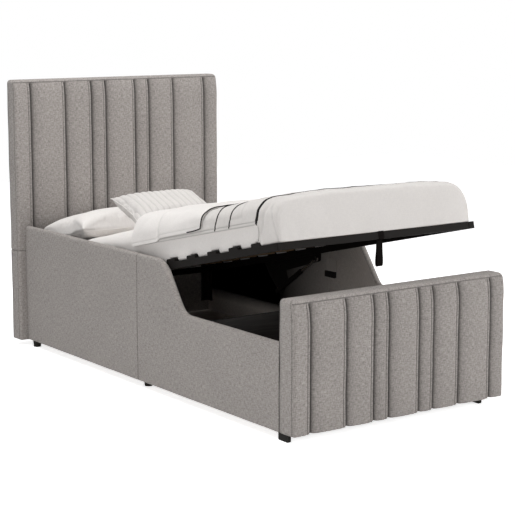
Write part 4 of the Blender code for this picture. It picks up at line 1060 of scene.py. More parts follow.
    def stations(self) -> tuple[np.ndarray, np.ndarray]:
        """Heights of the rows, and how far the front is pulled back at each.

        Returns:
            The heights and the pulls.
        """
        low, top = self.low.z, self.high.z
        roll = low + self.roll * (1 - np.cos(np.linspace(0, math.pi / 2, 5)))
        if not self.sweep:
            plain = np.arange(low + self.roll + self.row_step, top - self.roll - self.row_step, self.row_step)
            upper = top - self.roll * (1 - np.cos(np.linspace(math.pi / 2, 0, 5)))
            heights = np.concatenate([roll, plain, upper])
            return heights, np.zeros_like(heights)
        straight = np.arange(low + self.roll + self.row_step, top - self.sweep_height, self.row_step)
        angles = np.linspace(0, math.pi / 2, 40)
        heights = np.concatenate([roll, straight, top - self.sweep_height * (1 - np.sin(angles))])
        pulled = np.concatenate([np.zeros(len(roll) + len(straight)), self.sweep * (1 - np.cos(angles))])
        return heights, pulled

    def build(self) -> tuple[Object, list[np.ndarray]]:
        """Model the board.

        Returns:
            The board, and the paths of its stitched seams.
        """
        outline, outward, inward, mark = self.ring()
        heights, pulled = self.stations()
        low, top = self.low.z, self.high.z
        seam = top - self.seam_drop
        rows, marks = [], []
        front = np.abs(outward[:, 1]) > 0.5
        for z, pull in zip(heights, pulled):
            end, fade, line, narrow, back_in = rounding(-z, -low, self.roll), 1.0, 0.0, 0.0, 0.0
            if self.sweep:
                fade = np.clip((seam - z) / 0.006, 0, 1)
                line = bell(z - seam, 0.0016)
                narrow = rounding(z, top, self.corner_radius)
                back_in = rounding(z, top, self.back_radius)
            else:
                end += rounding(z, top, self.roll)
            groove = self.seam_depth * line * front
            depth_in = inward * np.where(front, fade, 1.0) + groove + end
            x = outline[:, 0] * (1 - narrow / self.half) - outward[:, 0] * depth_in
            depth = pull + outline[:, 1] * (1 - (pull + back_in) / self.thickness) - outward[:, 1] * depth_in
            tuck = self.scallop * max(0.0, 1 - (z - low) / 0.03) * front * mark
            rows.append(np.stack([x, self.low.y + depth, z + tuck], -1))
            # Painted shade in the creases, and along the seam under the top.
            marks.append(np.maximum(mark * np.where(front, fade, 1.0), 0.8 * line * front))
        rows, marks = np.array(rows), np.array(marks)
        rows = self.soften(rows, outward, marks)
        seams = self.seam_paths(rows, outline, heights)
        if self.sweep:
            rows, marks = self.close_top(rows, marks)
        lengths = lengths_along(outline)
        closing = lengths[-1] + 2 * self.half
        rise = lengths_along(rows[:, len(outline) // 2])
        uv = np.zeros((len(rows), len(outline) + 1, 2))
        uv[:, :, 0] = np.append(lengths, closing)
        uv[:, :, 1] = rise[:, None]
        board = skin(f"{self.node}_cloth", rows, uv, mark=marks)
        return board, seams

    def soften(self, rows: np.ndarray, outward: np.ndarray, marks: np.ndarray) -> np.ndarray:
        """Make the cloth uneven, and pucker it beside its creases.

        Args:
            rows: The board's points.
            outward: The outline's outward directions.
            marks: The painted crease shade.

        Returns:
            The uneven points.
        """
        uneven = 0.0005 * ripple(rows, 0.20, self.seed)
        if self.fluted:
            x = rows[:, :, 0]
            away = np.min(np.abs(x[..., None] - self.creases()), -1)
            pucker = bell(away - 0.006, 0.010)
            uneven += 0.0003 * pucker * ripple(rows * (0.5, 0.5, 1.0), 0.030, self.seed + 1) * (marks < 0.5)
        uneven[-1] = 0
        uneven[0] = 0
        rows[:, :, 0] += uneven * outward[:, 0]
        rows[:, :, 1] += uneven * outward[:, 1]
        rows[:, [0, -1], 1] = np.minimum(rows[:, [0, -1], 1], self.high.y)
        return rows

    def seam_paths(self, rows: np.ndarray, outline: np.ndarray, heights: np.ndarray) -> list[np.ndarray]:
        """Trace the stitched lines: one beside each bead.

        Args:
            rows: The board's points.
            outline: The outline that each row follows.
            heights: The rows' heights.

        Returns:
            The paths, a little proud of the cloth.
        """
        if not self.fluted:
            return []
        kept = (heights > self.low.z + self.roll) & (heights < self.high.z - self.seam_drop - 0.006)
        paths = []
        for crease in self.creases():
            column = int(np.argmin(np.abs(outline[:, 0] - (crease - self.bead)) + outline[:, 1]))
            path = rows[kept, column].copy()
            path[:, 1] -= 0.0001
            paths.append(path)
        return paths

    def close_top(self, rows: np.ndarray, marks: np.ndarray) -> tuple[np.ndarray, np.ndarray]:
        """Carry the last row inwards over the top.

        Args:
            rows: The board's points.
            marks: The painted crease shade.

        Returns:
            The points and marks with the top's rows added.
        """
        last = rows[-1]
        middle_y = (last[:, 1].min() + last[:, 1].max()) / 2
        limit = self.half - self.thickness / 2
        target = np.stack([np.clip(last[:, 0], -limit, limit), np.full(len(last), middle_y), last[:, 2]], -1)
        shares = (0.9, 0.72, 0.5, 0.28, 0.08)
        extra = [target + (last - target) * share for share in shares]
        return np.concatenate([rows, extra]), np.concatenate([marks, np.zeros((len(shares), len(last)))])


@dataclass
class SidePanel:
    """One half of an upholstered side: flat faces, a rounded upper edge and rolled ends."""

    label: str
    end: str
    low_top: float = 0.360
    slope_before_seam: float = 0.377
    slope_angle: float = math.radians(54)
    hollow_radius: float = 0.080
    shoulder_radius: float = 0.110
    top_radius: float = 0.012
    end_roll: float = 0.0045
    foot_roll: float = 0.003
    bulge: float = 0.0016

    @property
    def node(self) -> str:
        """The panel's CAD node."""
        return f"side_panel_{self.label}_{self.end}"

    def upper_edge(self) -> np.ndarray:
        """The upper edge from front to back.

        Returns:
            Rows of y, z and the outward direction's y and z.
        """
        low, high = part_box(self.node)
        front, back, top = low.y, high.y, high.z
        ends = np.array([0, 0.0004, 0.0012, 0.0024, 0.0045, 0.008, 0.014])
        if self.end == "head":
            middle = np.linspace(front + 0.02, back - 0.02, 50)
            y = np.concatenate([front + ends, middle, (back - ends)[::-1]])
            return np.stack([y, np.full_like(y, top), np.zeros_like(y), np.ones_like(y)], -1)
        rise = top - self.low_top
        angle = self.slope_angle
        turns = np.linspace(0, angle, 26)
        start = back - self.slope_before_seam
        straight = rise - (self.hollow_radius + self.shoulder_radius) * (1 - math.cos(angle))
        run = straight / math.tan(angle)
        shoulder = start + (self.hollow_radius + self.shoulder_radius) * math.sin(angle) + run
        flat = np.concatenate([front + ends, np.arange(front + 0.02, start - 0.004, 0.014)])
        parts = [np.stack([flat, np.full_like(flat, self.low_top), 0 * flat, 1 + 0 * flat], -1)]
        hollow = [start + self.hollow_radius * np.sin(turns),
                  self.low_top + self.hollow_radius * (1 - np.cos(turns))]
        parts.append(np.stack([*hollow, -np.sin(turns), np.cos(turns)], -1))
        share = np.linspace(0, 1, 9)[1:-1, None]
        back_turns = turns[::-1]
        crest = [shoulder - self.shoulder_radius * np.sin(back_turns),
                 top - self.shoulder_radius * (1 - np.cos(back_turns))]
        over = np.stack([*crest, -np.sin(back_turns), np.cos(back_turns)], -1)
        parts.append(parts[-1][-1] * (1 - share) + over[0] * share)
        parts.append(over)
        flat = np.concatenate([np.arange(shoulder + 0.012, back - 0.018, 0.014), (back - ends)[::-1]])
        parts.append(np.stack([flat, np.full_like(flat, top), 0 * flat, 1 + 0 * flat], -1))
        return np.concatenate(parts)

    def build(self) -> Object:
        """Model the panel.

        Returns:
            The panel, with its outer cloth in zone 0 and its inner face in zone 1, whose material has painted
            light and shade.
        """
        side = SIDES[self.label]
        low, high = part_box(self.node)
        inner, outer = sorted((abs(low.x), abs(high.x)))
        edge = self.upper_edge()
        radius = self.top_radius
        y_in, z_in = edge[:, 0] - edge[:, 2] * radius, edge[:, 1] - edge[:, 3] * radius
        near = np.clip(1 - np.minimum(edge[:, 0] - low.y, high.y - edge[:, 0]) / self.end_roll, 0, 1)
        roll = self.end_roll * (1 - np.sqrt(1 - near ** 2))
        columns = []
        climb = np.concatenate([[0.0, 0.004, 0.012], np.linspace(0.03, 1, 30)])
        for share in climb:
            columns.append((outer, y_in, low.z + (z_in - low.z) * share, 1.0, share))
        turns = np.linspace(0, math.pi / 2, 8)
        for face, way, angles in ((outer, 1, turns[1:]), (inner, -1, turns[:0:-1])):
            for angle in angles:
                reach = radius * math.sin(angle)
                columns.append((face - way * radius * (1 - math.cos(angle)), y_in + edge[:, 2] * reach,
                                z_in + edge[:, 3] * reach, way * math.cos(angle), 1.0))
        inner_face_from = len(columns) - 1
        for share in np.linspace(1, 0, 16):
            columns.append((inner, y_in, low.z + (z_in - low.z) * share, -1.0, share))
        points = np.zeros((len(edge), len(columns), 3))
        marks = np.zeros(points.shape[:2])
        for i, (x, y, z, out, share) in enumerate(columns):
            swell = self.bulge * math.sin(math.pi * min(1.0, max(0.0, share))) * (out > 0.99)
            tuck = self.foot_roll * (share == 0.0)
            place = np.full(len(edge), x) + out * (swell - roll - tuck)
            points[:, i] = np.stack([side * place, y, z], -1)
            # Painted shade towards the rolled ends of the panel.
            marks[:, i] = near ** 2 * 0.8
        outward = np.array([column[3] for column in columns])
        points[:, :, 0] += side * 0.0005 * outward * ripple(points, 0.20, 7) * (near[:, None] == 0)
        lengths = lengths_along(np.concatenate([points, points[:, :1]], 1), 1)
        uv = np.stack([np.broadcast_to(edge[:, :1], lengths.shape), lengths], -1)
        zones = (np.arange(len(columns)) >= inner_face_from).astype(np.int32)
        return skin(f"{self.node}_cloth", points, uv, mark=marks, zones=zones)


class Upholstery:
    """The boards and side panels, their stitches and the panels' inner faces."""

    def __init__(self, paints: Paintbox, trees: GrowingTrees) -> None:
        """Keep the materials and the trees.

        Args:
            paints: The bed's materials.
            trees: The Geometry Nodes trees.
        """
        self.paints = paints
        self.trees = trees
        self.boards = [
            FlutedBoard("headboard_pad", sweep=0.024, seed=11),
            FlutedBoard("footboard_pad", sweep=0.025, seed=21),
            FlutedBoard("headboard_base", fluted=False, seed=31),
        ]

    def build(self) -> None:
        """Make every upholstered piece."""
        seams = []
        for board in self.boards:
            piece, paths = board.build()
            settle(piece, Body.BASE, [self.paints.upholstery])
            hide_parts(board.node)
            seams += paths
        for label in SIDES:
            for end in ("foot", "head"):
                panel = SidePanel(label, end)
                piece = panel.build()
                settle(piece, Body.BASE, [self.paints.upholstery, self.paints.panel_inner_painted_light_and_shade])
                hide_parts(panel.node)
        stitches = grow(
            polyline("board_stitches", seams), self.trees.stitches,
            {"Pitch": 0.0062, "Stitch": 0.0044, "Thread": 0.0010, "Material": self.paints.thread},
        )
        settle(stitches, Body.BASE, [self.paints.thread])


def smooth_step(share: float) -> float:
    """Ease a share from 0 to 1, level at both ends."""
    share = min(1.0, max(0.0, share))
    return share * share * (3 - 2 * share)


def smooth_line(corners: np.ndarray, count: int) -> np.ndarray:
    """Draw a smooth curve through corners, evenly spaced.

    Args:
        corners: The corners, in order.
        count: How many points the curve has.

    Returns:
        The curve's points.
    """
    before = 2 * corners[0] - corners[1]
    after = 2 * corners[-1] - corners[-2]
    padded = np.vstack([before, corners, after])
    fine = []
    for i in range(len(corners) - 1):
        p0, p1, p2, p3 = padded[i: i + 4]
        for t in np.linspace(0, 1, 24, endpoint=False):
            fine.append(0.5 * (2 * p1 + (p2 - p0) * t + (2 * p0 - 5 * p1 + 4 * p2 - p3) * t ** 2
                               + (3 * p1 - p0 - 3 * p2 + p3) * t ** 3))
    fine = np.array(fine + [corners[-1]])
    length = lengths_along(fine)
    where = np.linspace(0, length[-1], count)
    return np.stack([np.interp(where, length, fine[:, i]) for i in range(fine.shape[1])], -1)


def inflate(piece: Object, voxel: float, pressure: float, cap: float) -> None:
    """Args:
        piece: The shape, in its own flat frame.
        voxel: The remesh's cell.
        pressure: The air pressure inside.
        cap: How far a point may move.
    """
    remesh = piece.modifiers.new("Remesh", "REMESH")
    remesh.mode = "VOXEL"
    remesh.voxel_size = voxel
    plain_mesh(piece)
    before = np.zeros(len(piece.data.vertices) * 3)
    piece.data.vertices.foreach_get("co", before)
    cloth = piece.modifiers.new("Cloth", "CLOTH")
    cloth.settings.quality = 4
    cloth.settings.mass = 0.25
    cloth.settings.tension_stiffness = 18
    cloth.settings.compression_stiffness = 18
    cloth.settings.bending_stiffness = 0.15
    cloth.settings.use_pressure = True
    cloth.settings.uniform_pressure_force = pressure
    cloth.settings.effector_weights.gravity = 0
    scene = bpy.context.scene
    for step in range(1, CLOTH_FRAMES + 1):
        scene.frame_set(step)
    swollen = piece.evaluated_get(bpy.context.evaluated_depsgraph_get())
    after = np.zeros_like(before)
    swollen.data.vertices.foreach_get("co", after)
    piece.modifiers.clear()
    move = (after - before).reshape(-1, 3)
    length = np.linalg.norm(move, axis=-1, keepdims=True)
    move *= np.minimum(1, cap / np.maximum(length, 1e-9))
    piece.data.vertices.foreach_set("co", (before.reshape(-1, 3) + move).reshape(-1))
    scene.frame_set(1)
    finer = piece.modifiers.new("Subdivision", "SUBSURF")
    finer.levels = finer.render_levels = 1
    plain_mesh(piece)


@dataclass
class StuffedShape:
    """A stuffed form between two skins sewn together round their edge."""

    name: str
    width: float
    depth: float
    crown: float
    underside: float
    draw: float
    start_share: float
    voxel: float
    pressure: float
    cap: float

    def plump(self, across: np.ndarray, along: np.ndarray) -> np.ndarray:
        """Share of the full thickness, zero on the seam."""
        return np.sqrt(np.clip((1 - across ** 4) * (1 - along ** 4), 0, 1))

    def build(self) -> Object:
        """Model the form about its own centre, its seam at height zero.

        Returns:
            The form.
        """
        count_x, count_y = 48, 30
        turn = np.linspace(-1, 1, count_x)
        lift = np.linspace(-1, 1, count_y)
        along, across = np.meshgrid(lift, turn, indexing="ij")
        x = across * self.width / 2 * (1 - self.draw * (1 - along ** 2))
        y = along * self.depth / 2 * (1 - self.draw * (1 - across ** 2))
        plump = self.plump(across, along)
        seam = 0.003
        over = np.stack([x, y, seam + plump * self.crown * self.start_share], -1)
        under = np.stack([x, y, -seam - plump * self.underside], -1)
        rows = np.concatenate([over, under[::-1]])
        flat = rows.reshape(-1, 3)
        mesh = bpy.data.meshes.new(self.name)
        faces = []
        height = len(rows)
        for r in range(height):
            for c in range(count_x - 1):
                here, after = r * count_x + c, (r + 1) % height * count_x + c
                faces.append((here, here + 1, after + 1, after))
        for r in range(count_y - 1):
            low = height - 1 - r
            faces.append((r * count_x, (r + 1) * count_x, (low - 1) * count_x, low * count_x))
            last = count_x - 1
            faces.append(((r + 1) * count_x + last, r * count_x + last, low * count_x + last,
                          (low - 1) * count_x + last))
        mesh.from_pydata(flat.tolist(), [], faces)
        made = place_object(self.name, mesh)
        inflate(made, self.voxel, self.pressure, self.cap)
        self.fit(made)
        return made

    def fit(self, piece: Object) -> None:
        """Bring the swollen form to its crown, and rest it flat below.

        Args:
            piece: The swollen form.
        """
        points = read_points(piece)
        above = points[:, 2] > 0
        points[above, 2] *= self.crown / points[:, 2].max()
        points[~above, 2] = np.maximum(points[~above, 2], -self.underside)
        for axis, size in ((0, self.width), (1, self.depth)):
            reach = np.abs(points[:, axis]).max()
            points[:, axis] *= min(1.0, (size / 2 + 0.004) / reach)
        write_points(piece, points)

    def seam_loop(self, piece: Object, count: int = 240) -> np.ndarray:
        """Find the seam round the swollen form.

        Args:
            piece: The form, still about its own centre.
            count: How many points the loop has.

        Returns:
            The loop's points.
        """
        mesh = piece.data
        tree = BVHTree.FromPolygons([v.co[:] for v in mesh.vertices], [p.vertices[:] for p in mesh.polygons])
        loop = []
        for step in range(count):
            angle = 2 * math.pi * step / count
            corner = max(abs(math.cos(angle)), abs(math.sin(angle)))
            aim = Vector((self.width * math.cos(angle), self.depth * math.sin(angle), 0)) / (2 * corner)
            start = aim * 1.3
            hit = tree.ray_cast(start, -aim.normalized())[0]
            loop.append(hit if hit is not None else aim)
        return np.array(loop)


def read_points(piece: Object) -> np.ndarray:
    """Read a mesh's points.

    Args:
        piece: The object.

    Returns:
        Its points.
    """
    flat = np.zeros(len(piece.data.vertices) * 3)
    piece.data.vertices.foreach_get("co", flat)
    return flat.reshape(-1, 3)


def write_points(piece: Object, points: np.ndarray) -> None:
    """Write a mesh's points."""
    piece.data.vertices.foreach_set("co", points.reshape(-1))
    piece.data.update()


def map_flat(piece: Object) -> None:
    """Lay the cloth map over a form as seen from above, in metres.

    Args:
        piece: The form, still about its own centre.
    """
    mesh = piece.data
    points = read_points(piece)
    loops = np.zeros(len(mesh.loops), np.int32)
    mesh.loops.foreach_get("vertex_index", loops)
    layer = mesh.uv_layers.get(CLOTH_MAP) or mesh.uv_layers.new(name=CLOTH_MAP)
    layer.data.foreach_set("uv", points[loops][:, :2].reshape(-1))
    mesh.shade_smooth()


def set_painted_shade(piece: Object, values: np.ndarray) -> None:
    """Write the painted crease shade of each point.

    Args:
        piece: The object.
        values: The painted shade of each point, from 0 to 1.
    """
    kept = piece.data.attributes
    attribute = kept.get(PAINTED_CREASE_SHADE) or kept.new(PAINTED_CREASE_SHADE, "FLOAT", "POINT")
    attribute.data.foreach_set("value", values.astype(np.float32))


@dataclass
class Bedding:
    """Mattress, cover, folded-back cover, pillow and ribbed cushion."""

    paints: Paintbox
    trees: GrowingTrees
    platform: PlatformFrame
    stripes: tuple[tuple[float, float, float], ...] = (
        (0.084, 0.030, 0.041), (0.255, 0.0065, 0.048), (0.350, 0.0065, 0.050),
    )
    mattress_half: float = 0.465
    mattress_foot: float = 0.018
    mattress_head: float = 1.893
    mattress_bottom: float = 0.0162
    mattress_height: float = 0.150
    upper_radius: float = 0.060
    lower_radius: float = 0.004
    cover_half: float = 0.477
    cover_thickness: float = 0.0165
    shoulder: float = 0.103
    section_shares: tuple[tuple[float, float], ...] = (
        (0.999, 0.86), (0.987, 0.573), (0.943, 0.282), (0.891, 0.146), (0.797, 0.078), (0.4, 0.012),
    )
    lofted_shares: tuple[tuple[float, float], ...] = (
        (0.999, 0.82), (0.987, 0.47), (0.943, 0.235), (0.891, 0.145), (0.797, 0.095), (0.4, 0.012),
    )
    loft: float = 0.006
    loft_start: float = 0.025
    loft_run: float = 0.145
    cover_foot: float = 0.0065
    cover_foot_bottom: float = 0.0012
    foot_edge: float = 0.045
    foot_side_share: float = 0.35
    foot_crown_share: float = 0.42
    foot_narrow: float = 0.004
    section_points: int = 72
    hem_steps: int = 14
    nose_length: float = 0.130
    nose_drop: float = 0.008
    drop_end: float = 0.106
    pleat_top: float = 0.172
    pleat_start: float = 0.040
    pleat_depth: float = 0.006
    pleat_lean: float = 0.030
    pleat_width: float = 0.012
    bulge_lead: float = 0.014
    tuck_width: float = 0.0025
    tuck_depth: float = 0.0014
    flap_reach: float = 0.024
    flap_clear: float = 0.0138
    cover_head: float = 0.985
    hem: float = 0.078
    hem_rise: float = 0.012
    hem_band: float = 0.013
    hem_edge: float = 0.0015
    hem_line_width: float = 0.0022
    hem_line_depth: float = 0.0016
    hem_line_start: float = 0.085
    quilt_turn: float = 0.508
    quilt_start: float = 0.205
    quilt_end: float = 0.29
    quilt_width: float = 0.003
    quilt_depth: float = 0.0015
    fold_foot: float = 0.450
    fold_head: float = 1.040
    fold_corner: float = 0.035
    fold_lean: float = 0.050
    hook_share: float = 0.175
    lobe_share: float = 0.593
    fold_gap: float = 0.0008
    fold_side_gap: float = 0.0018
    fold_proud: float = 0.0040
    lobe_proud: float = 0.0045
    holder_half: float = 0.0265
    sag_bottom: float = 0.0012
    rail_edge: float = 0.4390
    fold_crown: float = 0.053
    fold_shares: tuple[tuple[float, float], ...] = (
        (0.0, 0.04), (0.16, 0.26), (0.385, 0.53), (0.634, 0.77), (0.817, 1.0), (0.927, 1.0), (0.973, 0.81),
        (1.0, 0.32),
    )
    seat_gap: float = 0.0005
    cord_proud: float = 0.0006
    cord_radius: float = 0.0024
    stripe_proud: float = 0.0032
    stripe_share: float = 0.38
    pillow_place: tuple[float, float] = (-0.090, 1.650)
    cushion_place: tuple[float, float] = (-0.155, 1.232)
    cushion_turn: float = math.radians(-6)
    cushion_lean: float = math.radians(29)
    cushion_ribs: int = 14

    @property
    def mattress_top(self) -> float:
        """Height of the mattress's top above the frame."""
        return self.mattress_bottom + self.mattress_height

    @property
    def cover_top(self) -> float:
        """Height of the cover's top above the frame."""
        return self.mattress_top + self.cover_thickness

    def build(self) -> None:
        """Make every soft piece on the platform."""
        self.build_mattress()
        self.build_cover()
        self.build_fold()
        self.build_pillow()
        self.build_cushion()

    def dress(
        self, piece: Object, material: Material, node: str,
    ) -> None:
        """Settle a soft piece on the platform in place of its CAD node.

        Args:
            piece: The piece, in place.
            material: Its cloth.
            node: The CAD node that it stands for.
        """
        settle(piece, Body.PLATFORM, [material])
        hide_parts(node)

    def mattress_stations(self) -> np.ndarray:
        """Places of the mattress's rings, close together at each slat holder's ends.

        Returns:
            The places, from foot to head.
        """
        steps = self.holder_half + np.array([-0.004, -0.0005, 0.002, 0.0045, 0.009])
        near = (self.platform.slats.places()[:, None] + np.concatenate([-steps, steps])).ravel()
        places = np.unique(np.concatenate([np.linspace(0.09, 1.82, 90), near]))
        places = places[(places > 0.085) & (places < 1.825)]
        return places[np.concatenate([[True], np.diff(places) > 0.0012])]

    def build_mattress(self) -> None:
        """A sheeted mattress: drawn-in sides, soft edges and slight unevenness."""
        half, radius, low_radius = self.mattress_half, self.upper_radius, self.lower_radius
        bottom, top = self.mattress_bottom, self.mattress_top
        turns = np.linspace(0, math.pi / 2, 9)
        ends = [(self.mattress_foot + radius * (1 - math.cos(a)), math.sin(a)) for a in turns]
        stations = ends + [(y, 1.0) for y in self.mattress_stations()]
        stations += [(self.mattress_head - radius * (1 - math.cos(a)), math.sin(a)) for a in turns[::-1]]
        rows = []
        for along, share in stations:
            r, low_r = radius * share, low_radius * share
            upper = [(half - radius + r * math.cos(a), top - radius + r * math.sin(a)) for a in turns]
            places = (0.0, 0.20, self.rail_edge, self.rail_edge + 0.006)
            lower = [(x, bottom + low_radius - low_r) for x in places]
            lower += [(half - low_radius + low_r * math.sin(a), bottom + low_radius - low_r * math.cos(a))
                      for a in turns]
            side_x = half - radius + r
            sides = [(side_x - 0.001, z) for z in np.linspace(bottom + low_radius, top - radius, 8)[1:-1]]
            over = [(x, upper[-1][1]) for x in np.linspace(upper[-1][0], 0, 46)[1:]]
            right = lower + sides + upper + over
            ring = np.array(right + [(-x, z) for x, z in right[-2:0:-1]])
            rows.append(upright(ring, along))
        points = np.array(rows)
        on_top = np.clip((points[:, :, 2] - top + 0.004) / 0.004, 0, 1)
        points[:, :, 2] += 0.0009 * on_top * ripple(points, 0.22, 3)
        on_side = np.clip((np.abs(points[:, :, 0]) - half + 0.004) / 0.004, 0, 1)
        points[:, :, 0] += np.sign(points[:, :, 0]) * 0.0010 * on_side * ripple(points * (1, 1, 0.3), 0.12, 4)
        away = np.min(np.abs(points[:, :, 1, None] - self.platform.slats.places()), -1)
        free = np.clip((away - self.holder_half) / 0.004, 0, 1)
        inner = (points[:, :, 1] > self.drop_end) & (points[:, :, 1] < self.mattress_head - 0.06)
        low_part = np.clip((bottom + 0.03 - points[:, :, 2]) / 0.03, 0, 1)
        low_part = low_part * (np.abs(points[:, :, 0]) > self.rail_edge + 0.003)
        points[:, :, 2] -= (bottom - self.sag_bottom) * free * low_part * inner
        lengths = lengths_along(np.concatenate([points, points[:, :1]], 1), 1)
        uv = np.stack([lengths, np.broadcast_to(points[:, :1, 1], lengths.shape)], -1)
        piece = skin("mattress_sheet", self.platform.place(points), uv)
        self.dress(piece, self.paints.sheet, "mattress")

    def section(self, half: float, crown: float, shoulder: float, hem: float, full: float) -> np.ndarray:
        """Half of the outer outline, from the hem to the middle of the top.

        Args:
            half: Half the width.
            crown: Height of the middle.
            shoulder: How far the side falls before it is upright.
            hem: Height of the hem.
            full: How much of the lofted outline it takes.

        Returns:
            Its points as x and height.
        """
        shares = np.array(self.section_shares) * (1 - full) + np.array(self.lofted_shares) * full
        corners = shares * (half, -shoulder) + (0.0, crown)
        upper = smooth_line(np.concatenate([corners, [(0.0, crown)]]), self.section_points)
        share = np.linspace(0, 1, self.hem_steps, endpoint=False)[:, None]
        lower = np.array([half, hem]) * (1 - share) + upper[0] * share
        return np.concatenate([lower, upper])

    def build_cover(self) -> None:
        """The cover: quilted lines, a doubled hem, an uneven foot face and a hollow for the mattress."""
        edge = self.foot_edge
        rows = [(self.cover_foot + edge * (1 - math.cos(a)), edge * (1 - math.sin(a)))
                for a in np.linspace(0, math.pi / 2, 12)]
        rows += [(along, 0.0) for along in np.linspace(self.cover_foot + edge, self.cover_head, 170)[1:]]
        points = []
        for along, inset in rows:
            nose = self.nose_drop * max(0.0, 1 - (along - self.cover_foot) / self.nose_length) ** 2
            hem = self.hem_height(along)
            full = smooth_step((along - self.loft_start) / self.loft_run)
            crown = self.cover_top + self.loft * full - self.foot_crown_share * inset - nose
            half = self.cover_half - self.foot_side_share * inset
            half_line = self.section(half, crown, self.shoulder, hem, full)
            points.append(upright(both_halves(half_line), along))
        points = np.array(points)
        across = from_middle(points[:, :, [0, 2]])
        points, marks = self.quilt(points, across)
        points, marks = self.pleat(points, marks)
        self.build_stripes(points, np.array([along for along, _ in rows]))
        points, marks, across, along = self.foot_face(points, marks, across)
        uv = np.stack([across, along], -1)
        uv = np.concatenate([uv, uv[:, :1]], 1)
        piece = skin("cover_quilt", self.platform.place(points), uv, mark=marks)
        self.hollow(piece)
        self.dress(piece, self.paints.cover, "cover")

    def build_stripes(self, points: np.ndarray, places: np.ndarray) -> None:
        """Lay raised dark cords over the cover, from hem to hem.

        Args:
            points: The cover's points.
            places: The place of each row of points along the bed.
        """
        outward = self.outward(points)
        for place, width, lean in self.stripes:
            row = int(np.searchsorted(places, place + lean))
            drop = np.clip((self.cover_top - points[row, :, 2]) / self.shoulder, 0, 1)
            path = np.array([
                [np.interp(place + lean * drop[c], places, points[:, c, i]) for i in range(3)]
                for c in range(points.shape[1])
            ])
            radius = self.stripe_share * width
            path += (self.stripe_proud - 0.99 * radius) * outward[row]
            self.cord(f"cover_stripe_{round(1000 * place)}", path[3:-3], radius)

    def cord(self, name: str, path: np.ndarray, radius: float) -> None:
        """Sew a dark cord along a path on the platform.

        Args:
            name: The cord's name.
            path: Its points.
            radius: Its radius.
        """
        piece = polyline(name, [self.platform.place(path)])
        grow(piece, self.trees.piping, {"Radius": radius, "Sides": 8, "Material": self.paints.stripe})
        settle(piece, Body.PLATFORM, [self.paints.stripe])

    def hem_height(self, along: float) -> float:
        """Height of the cover's hem: down to the frame at the foot, then high on the mattress's side.

        Args:
            along: The distance from the foot.

        Returns:
            The height above the frame.
        """
        share = max(0.0, (along - self.drop_end) / (self.cover_head - self.drop_end))
        high = self.hem + self.hem_rise * share
        blend = min(1.0, max(0.0, (along - self.drop_end) / 0.010))
        return self.cover_foot_bottom + (high - self.cover_foot_bottom) * blend

    def pleat(self, points: np.ndarray, marks: np.ndarray) -> tuple[np.ndarray, np.ndarray]:
        """Tuck the corners of the foot end: a triangle of cloth that bulges beside a valley, with painted
        shade in the valley and along the tuck.

        Args:
            points: The cover's points.
            marks: Their painted crease shade.

        Returns:
            The points and marks with the pleats.
        """
        along, height = points[:, :, 1], points[:, :, 2]
        fall = np.clip(1 - height / self.pleat_top, 0, 1)
        leg = self.pleat_start + (self.drop_end - 0.002 - self.pleat_start) * fall
        on_side = np.clip((np.abs(points[:, :, 0]) - 0.85 * self.cover_half) / (0.13 * self.cover_half), 0, 1)
        reach = on_side * np.clip(fall * 5, 0, 1)
        behind = along - leg
        width = self.pleat_width
        valley = bell(behind - width, width) * (behind > -width)
        bulge = bell(behind + self.bulge_lead, width)
        fold = bell(along - self.pleat_start + self.pleat_lean * fall, self.tuck_width)
        move = reach * self.pleat_depth * (0.8 * bulge - 0.5 * valley) - self.tuck_depth * reach * fold
        points = points.copy()
        points[:, :, 0] += np.sign(points[:, :, 0]) * move
        below = np.clip(1 - height / self.hem, 0, 1)
        ramp = np.clip((along - 0.05) / (self.drop_end - 0.05), 0, 1) * (along < self.drop_end + 0.004)
        points[:, :, 1] += self.flap_reach * below * ramp
        holder_end = self.platform.slats.first - 0.0325
        behind_holder = (points[:, :, 1] > holder_end) & (along < self.drop_end + 0.012)
        points[:, :, 2] = np.where(behind_holder, np.maximum(height, self.flap_clear), points[:, :, 2])
        # Painted shade in the valley and along the tuck.
        return points, np.maximum(marks, reach * np.maximum(0.45 * fold, 0.35 * valley))

    def quilt(self, points: np.ndarray, across: np.ndarray) -> tuple[np.ndarray, np.ndarray]:
        """Sink the quilting and hem lines, and let the cloth between them swell.

        Args:
            points: The cover's points.
            across: Each point's distance from the middle of the top, over the surface.

        Returns:
            The points and the painted shade of their sunk lines.
        """
        along = points[:, :, 1]
        edge = np.abs(across)
        rim = edge[:, [0]]
        lines = np.zeros_like(along)
        marks = np.zeros_like(along)
        # Painted shade in the sunk hem and quilting lines.
        for offset, shade in ((self.hem_band, 0.9), (self.hem_edge, 0.7)):
            line = bell(rim - edge - offset, self.hem_line_width) * (along > self.hem_line_start)
            lines += self.hem_line_depth * line
            marks = np.maximum(marks, shade * line)
        turn, line_start, line_end = self.quilt_turn, self.quilt_start, self.quilt_end
        run = bell(along - line_start, self.quilt_width) * (edge < turn)
        side = bell(edge - turn, self.quilt_width) * (along > line_start) * (along < line_end)
        lines += self.quilt_depth * np.maximum(run, side)
        marks = np.maximum(marks, 0.4 * np.maximum(run, side))
        drop = np.clip((self.cover_top - points[:, :, 2]) / self.shoulder, 0, 1)
        for place, _, lean in self.stripes:
            lines += 0.0010 * bell(along - place - lean * drop, 0.006) * (along > 0.05)
        uneven = 0.0014 * ripple(points, 0.26, 5) + 0.0007 * ripple(points * (1, 1.6, 1), 0.09, 6)
        calm = np.clip((rim - edge) / 0.05, 0.15, 1)
        normal = self.outward(points)
        return points + normal * (uneven * calm - lines)[..., None], marks

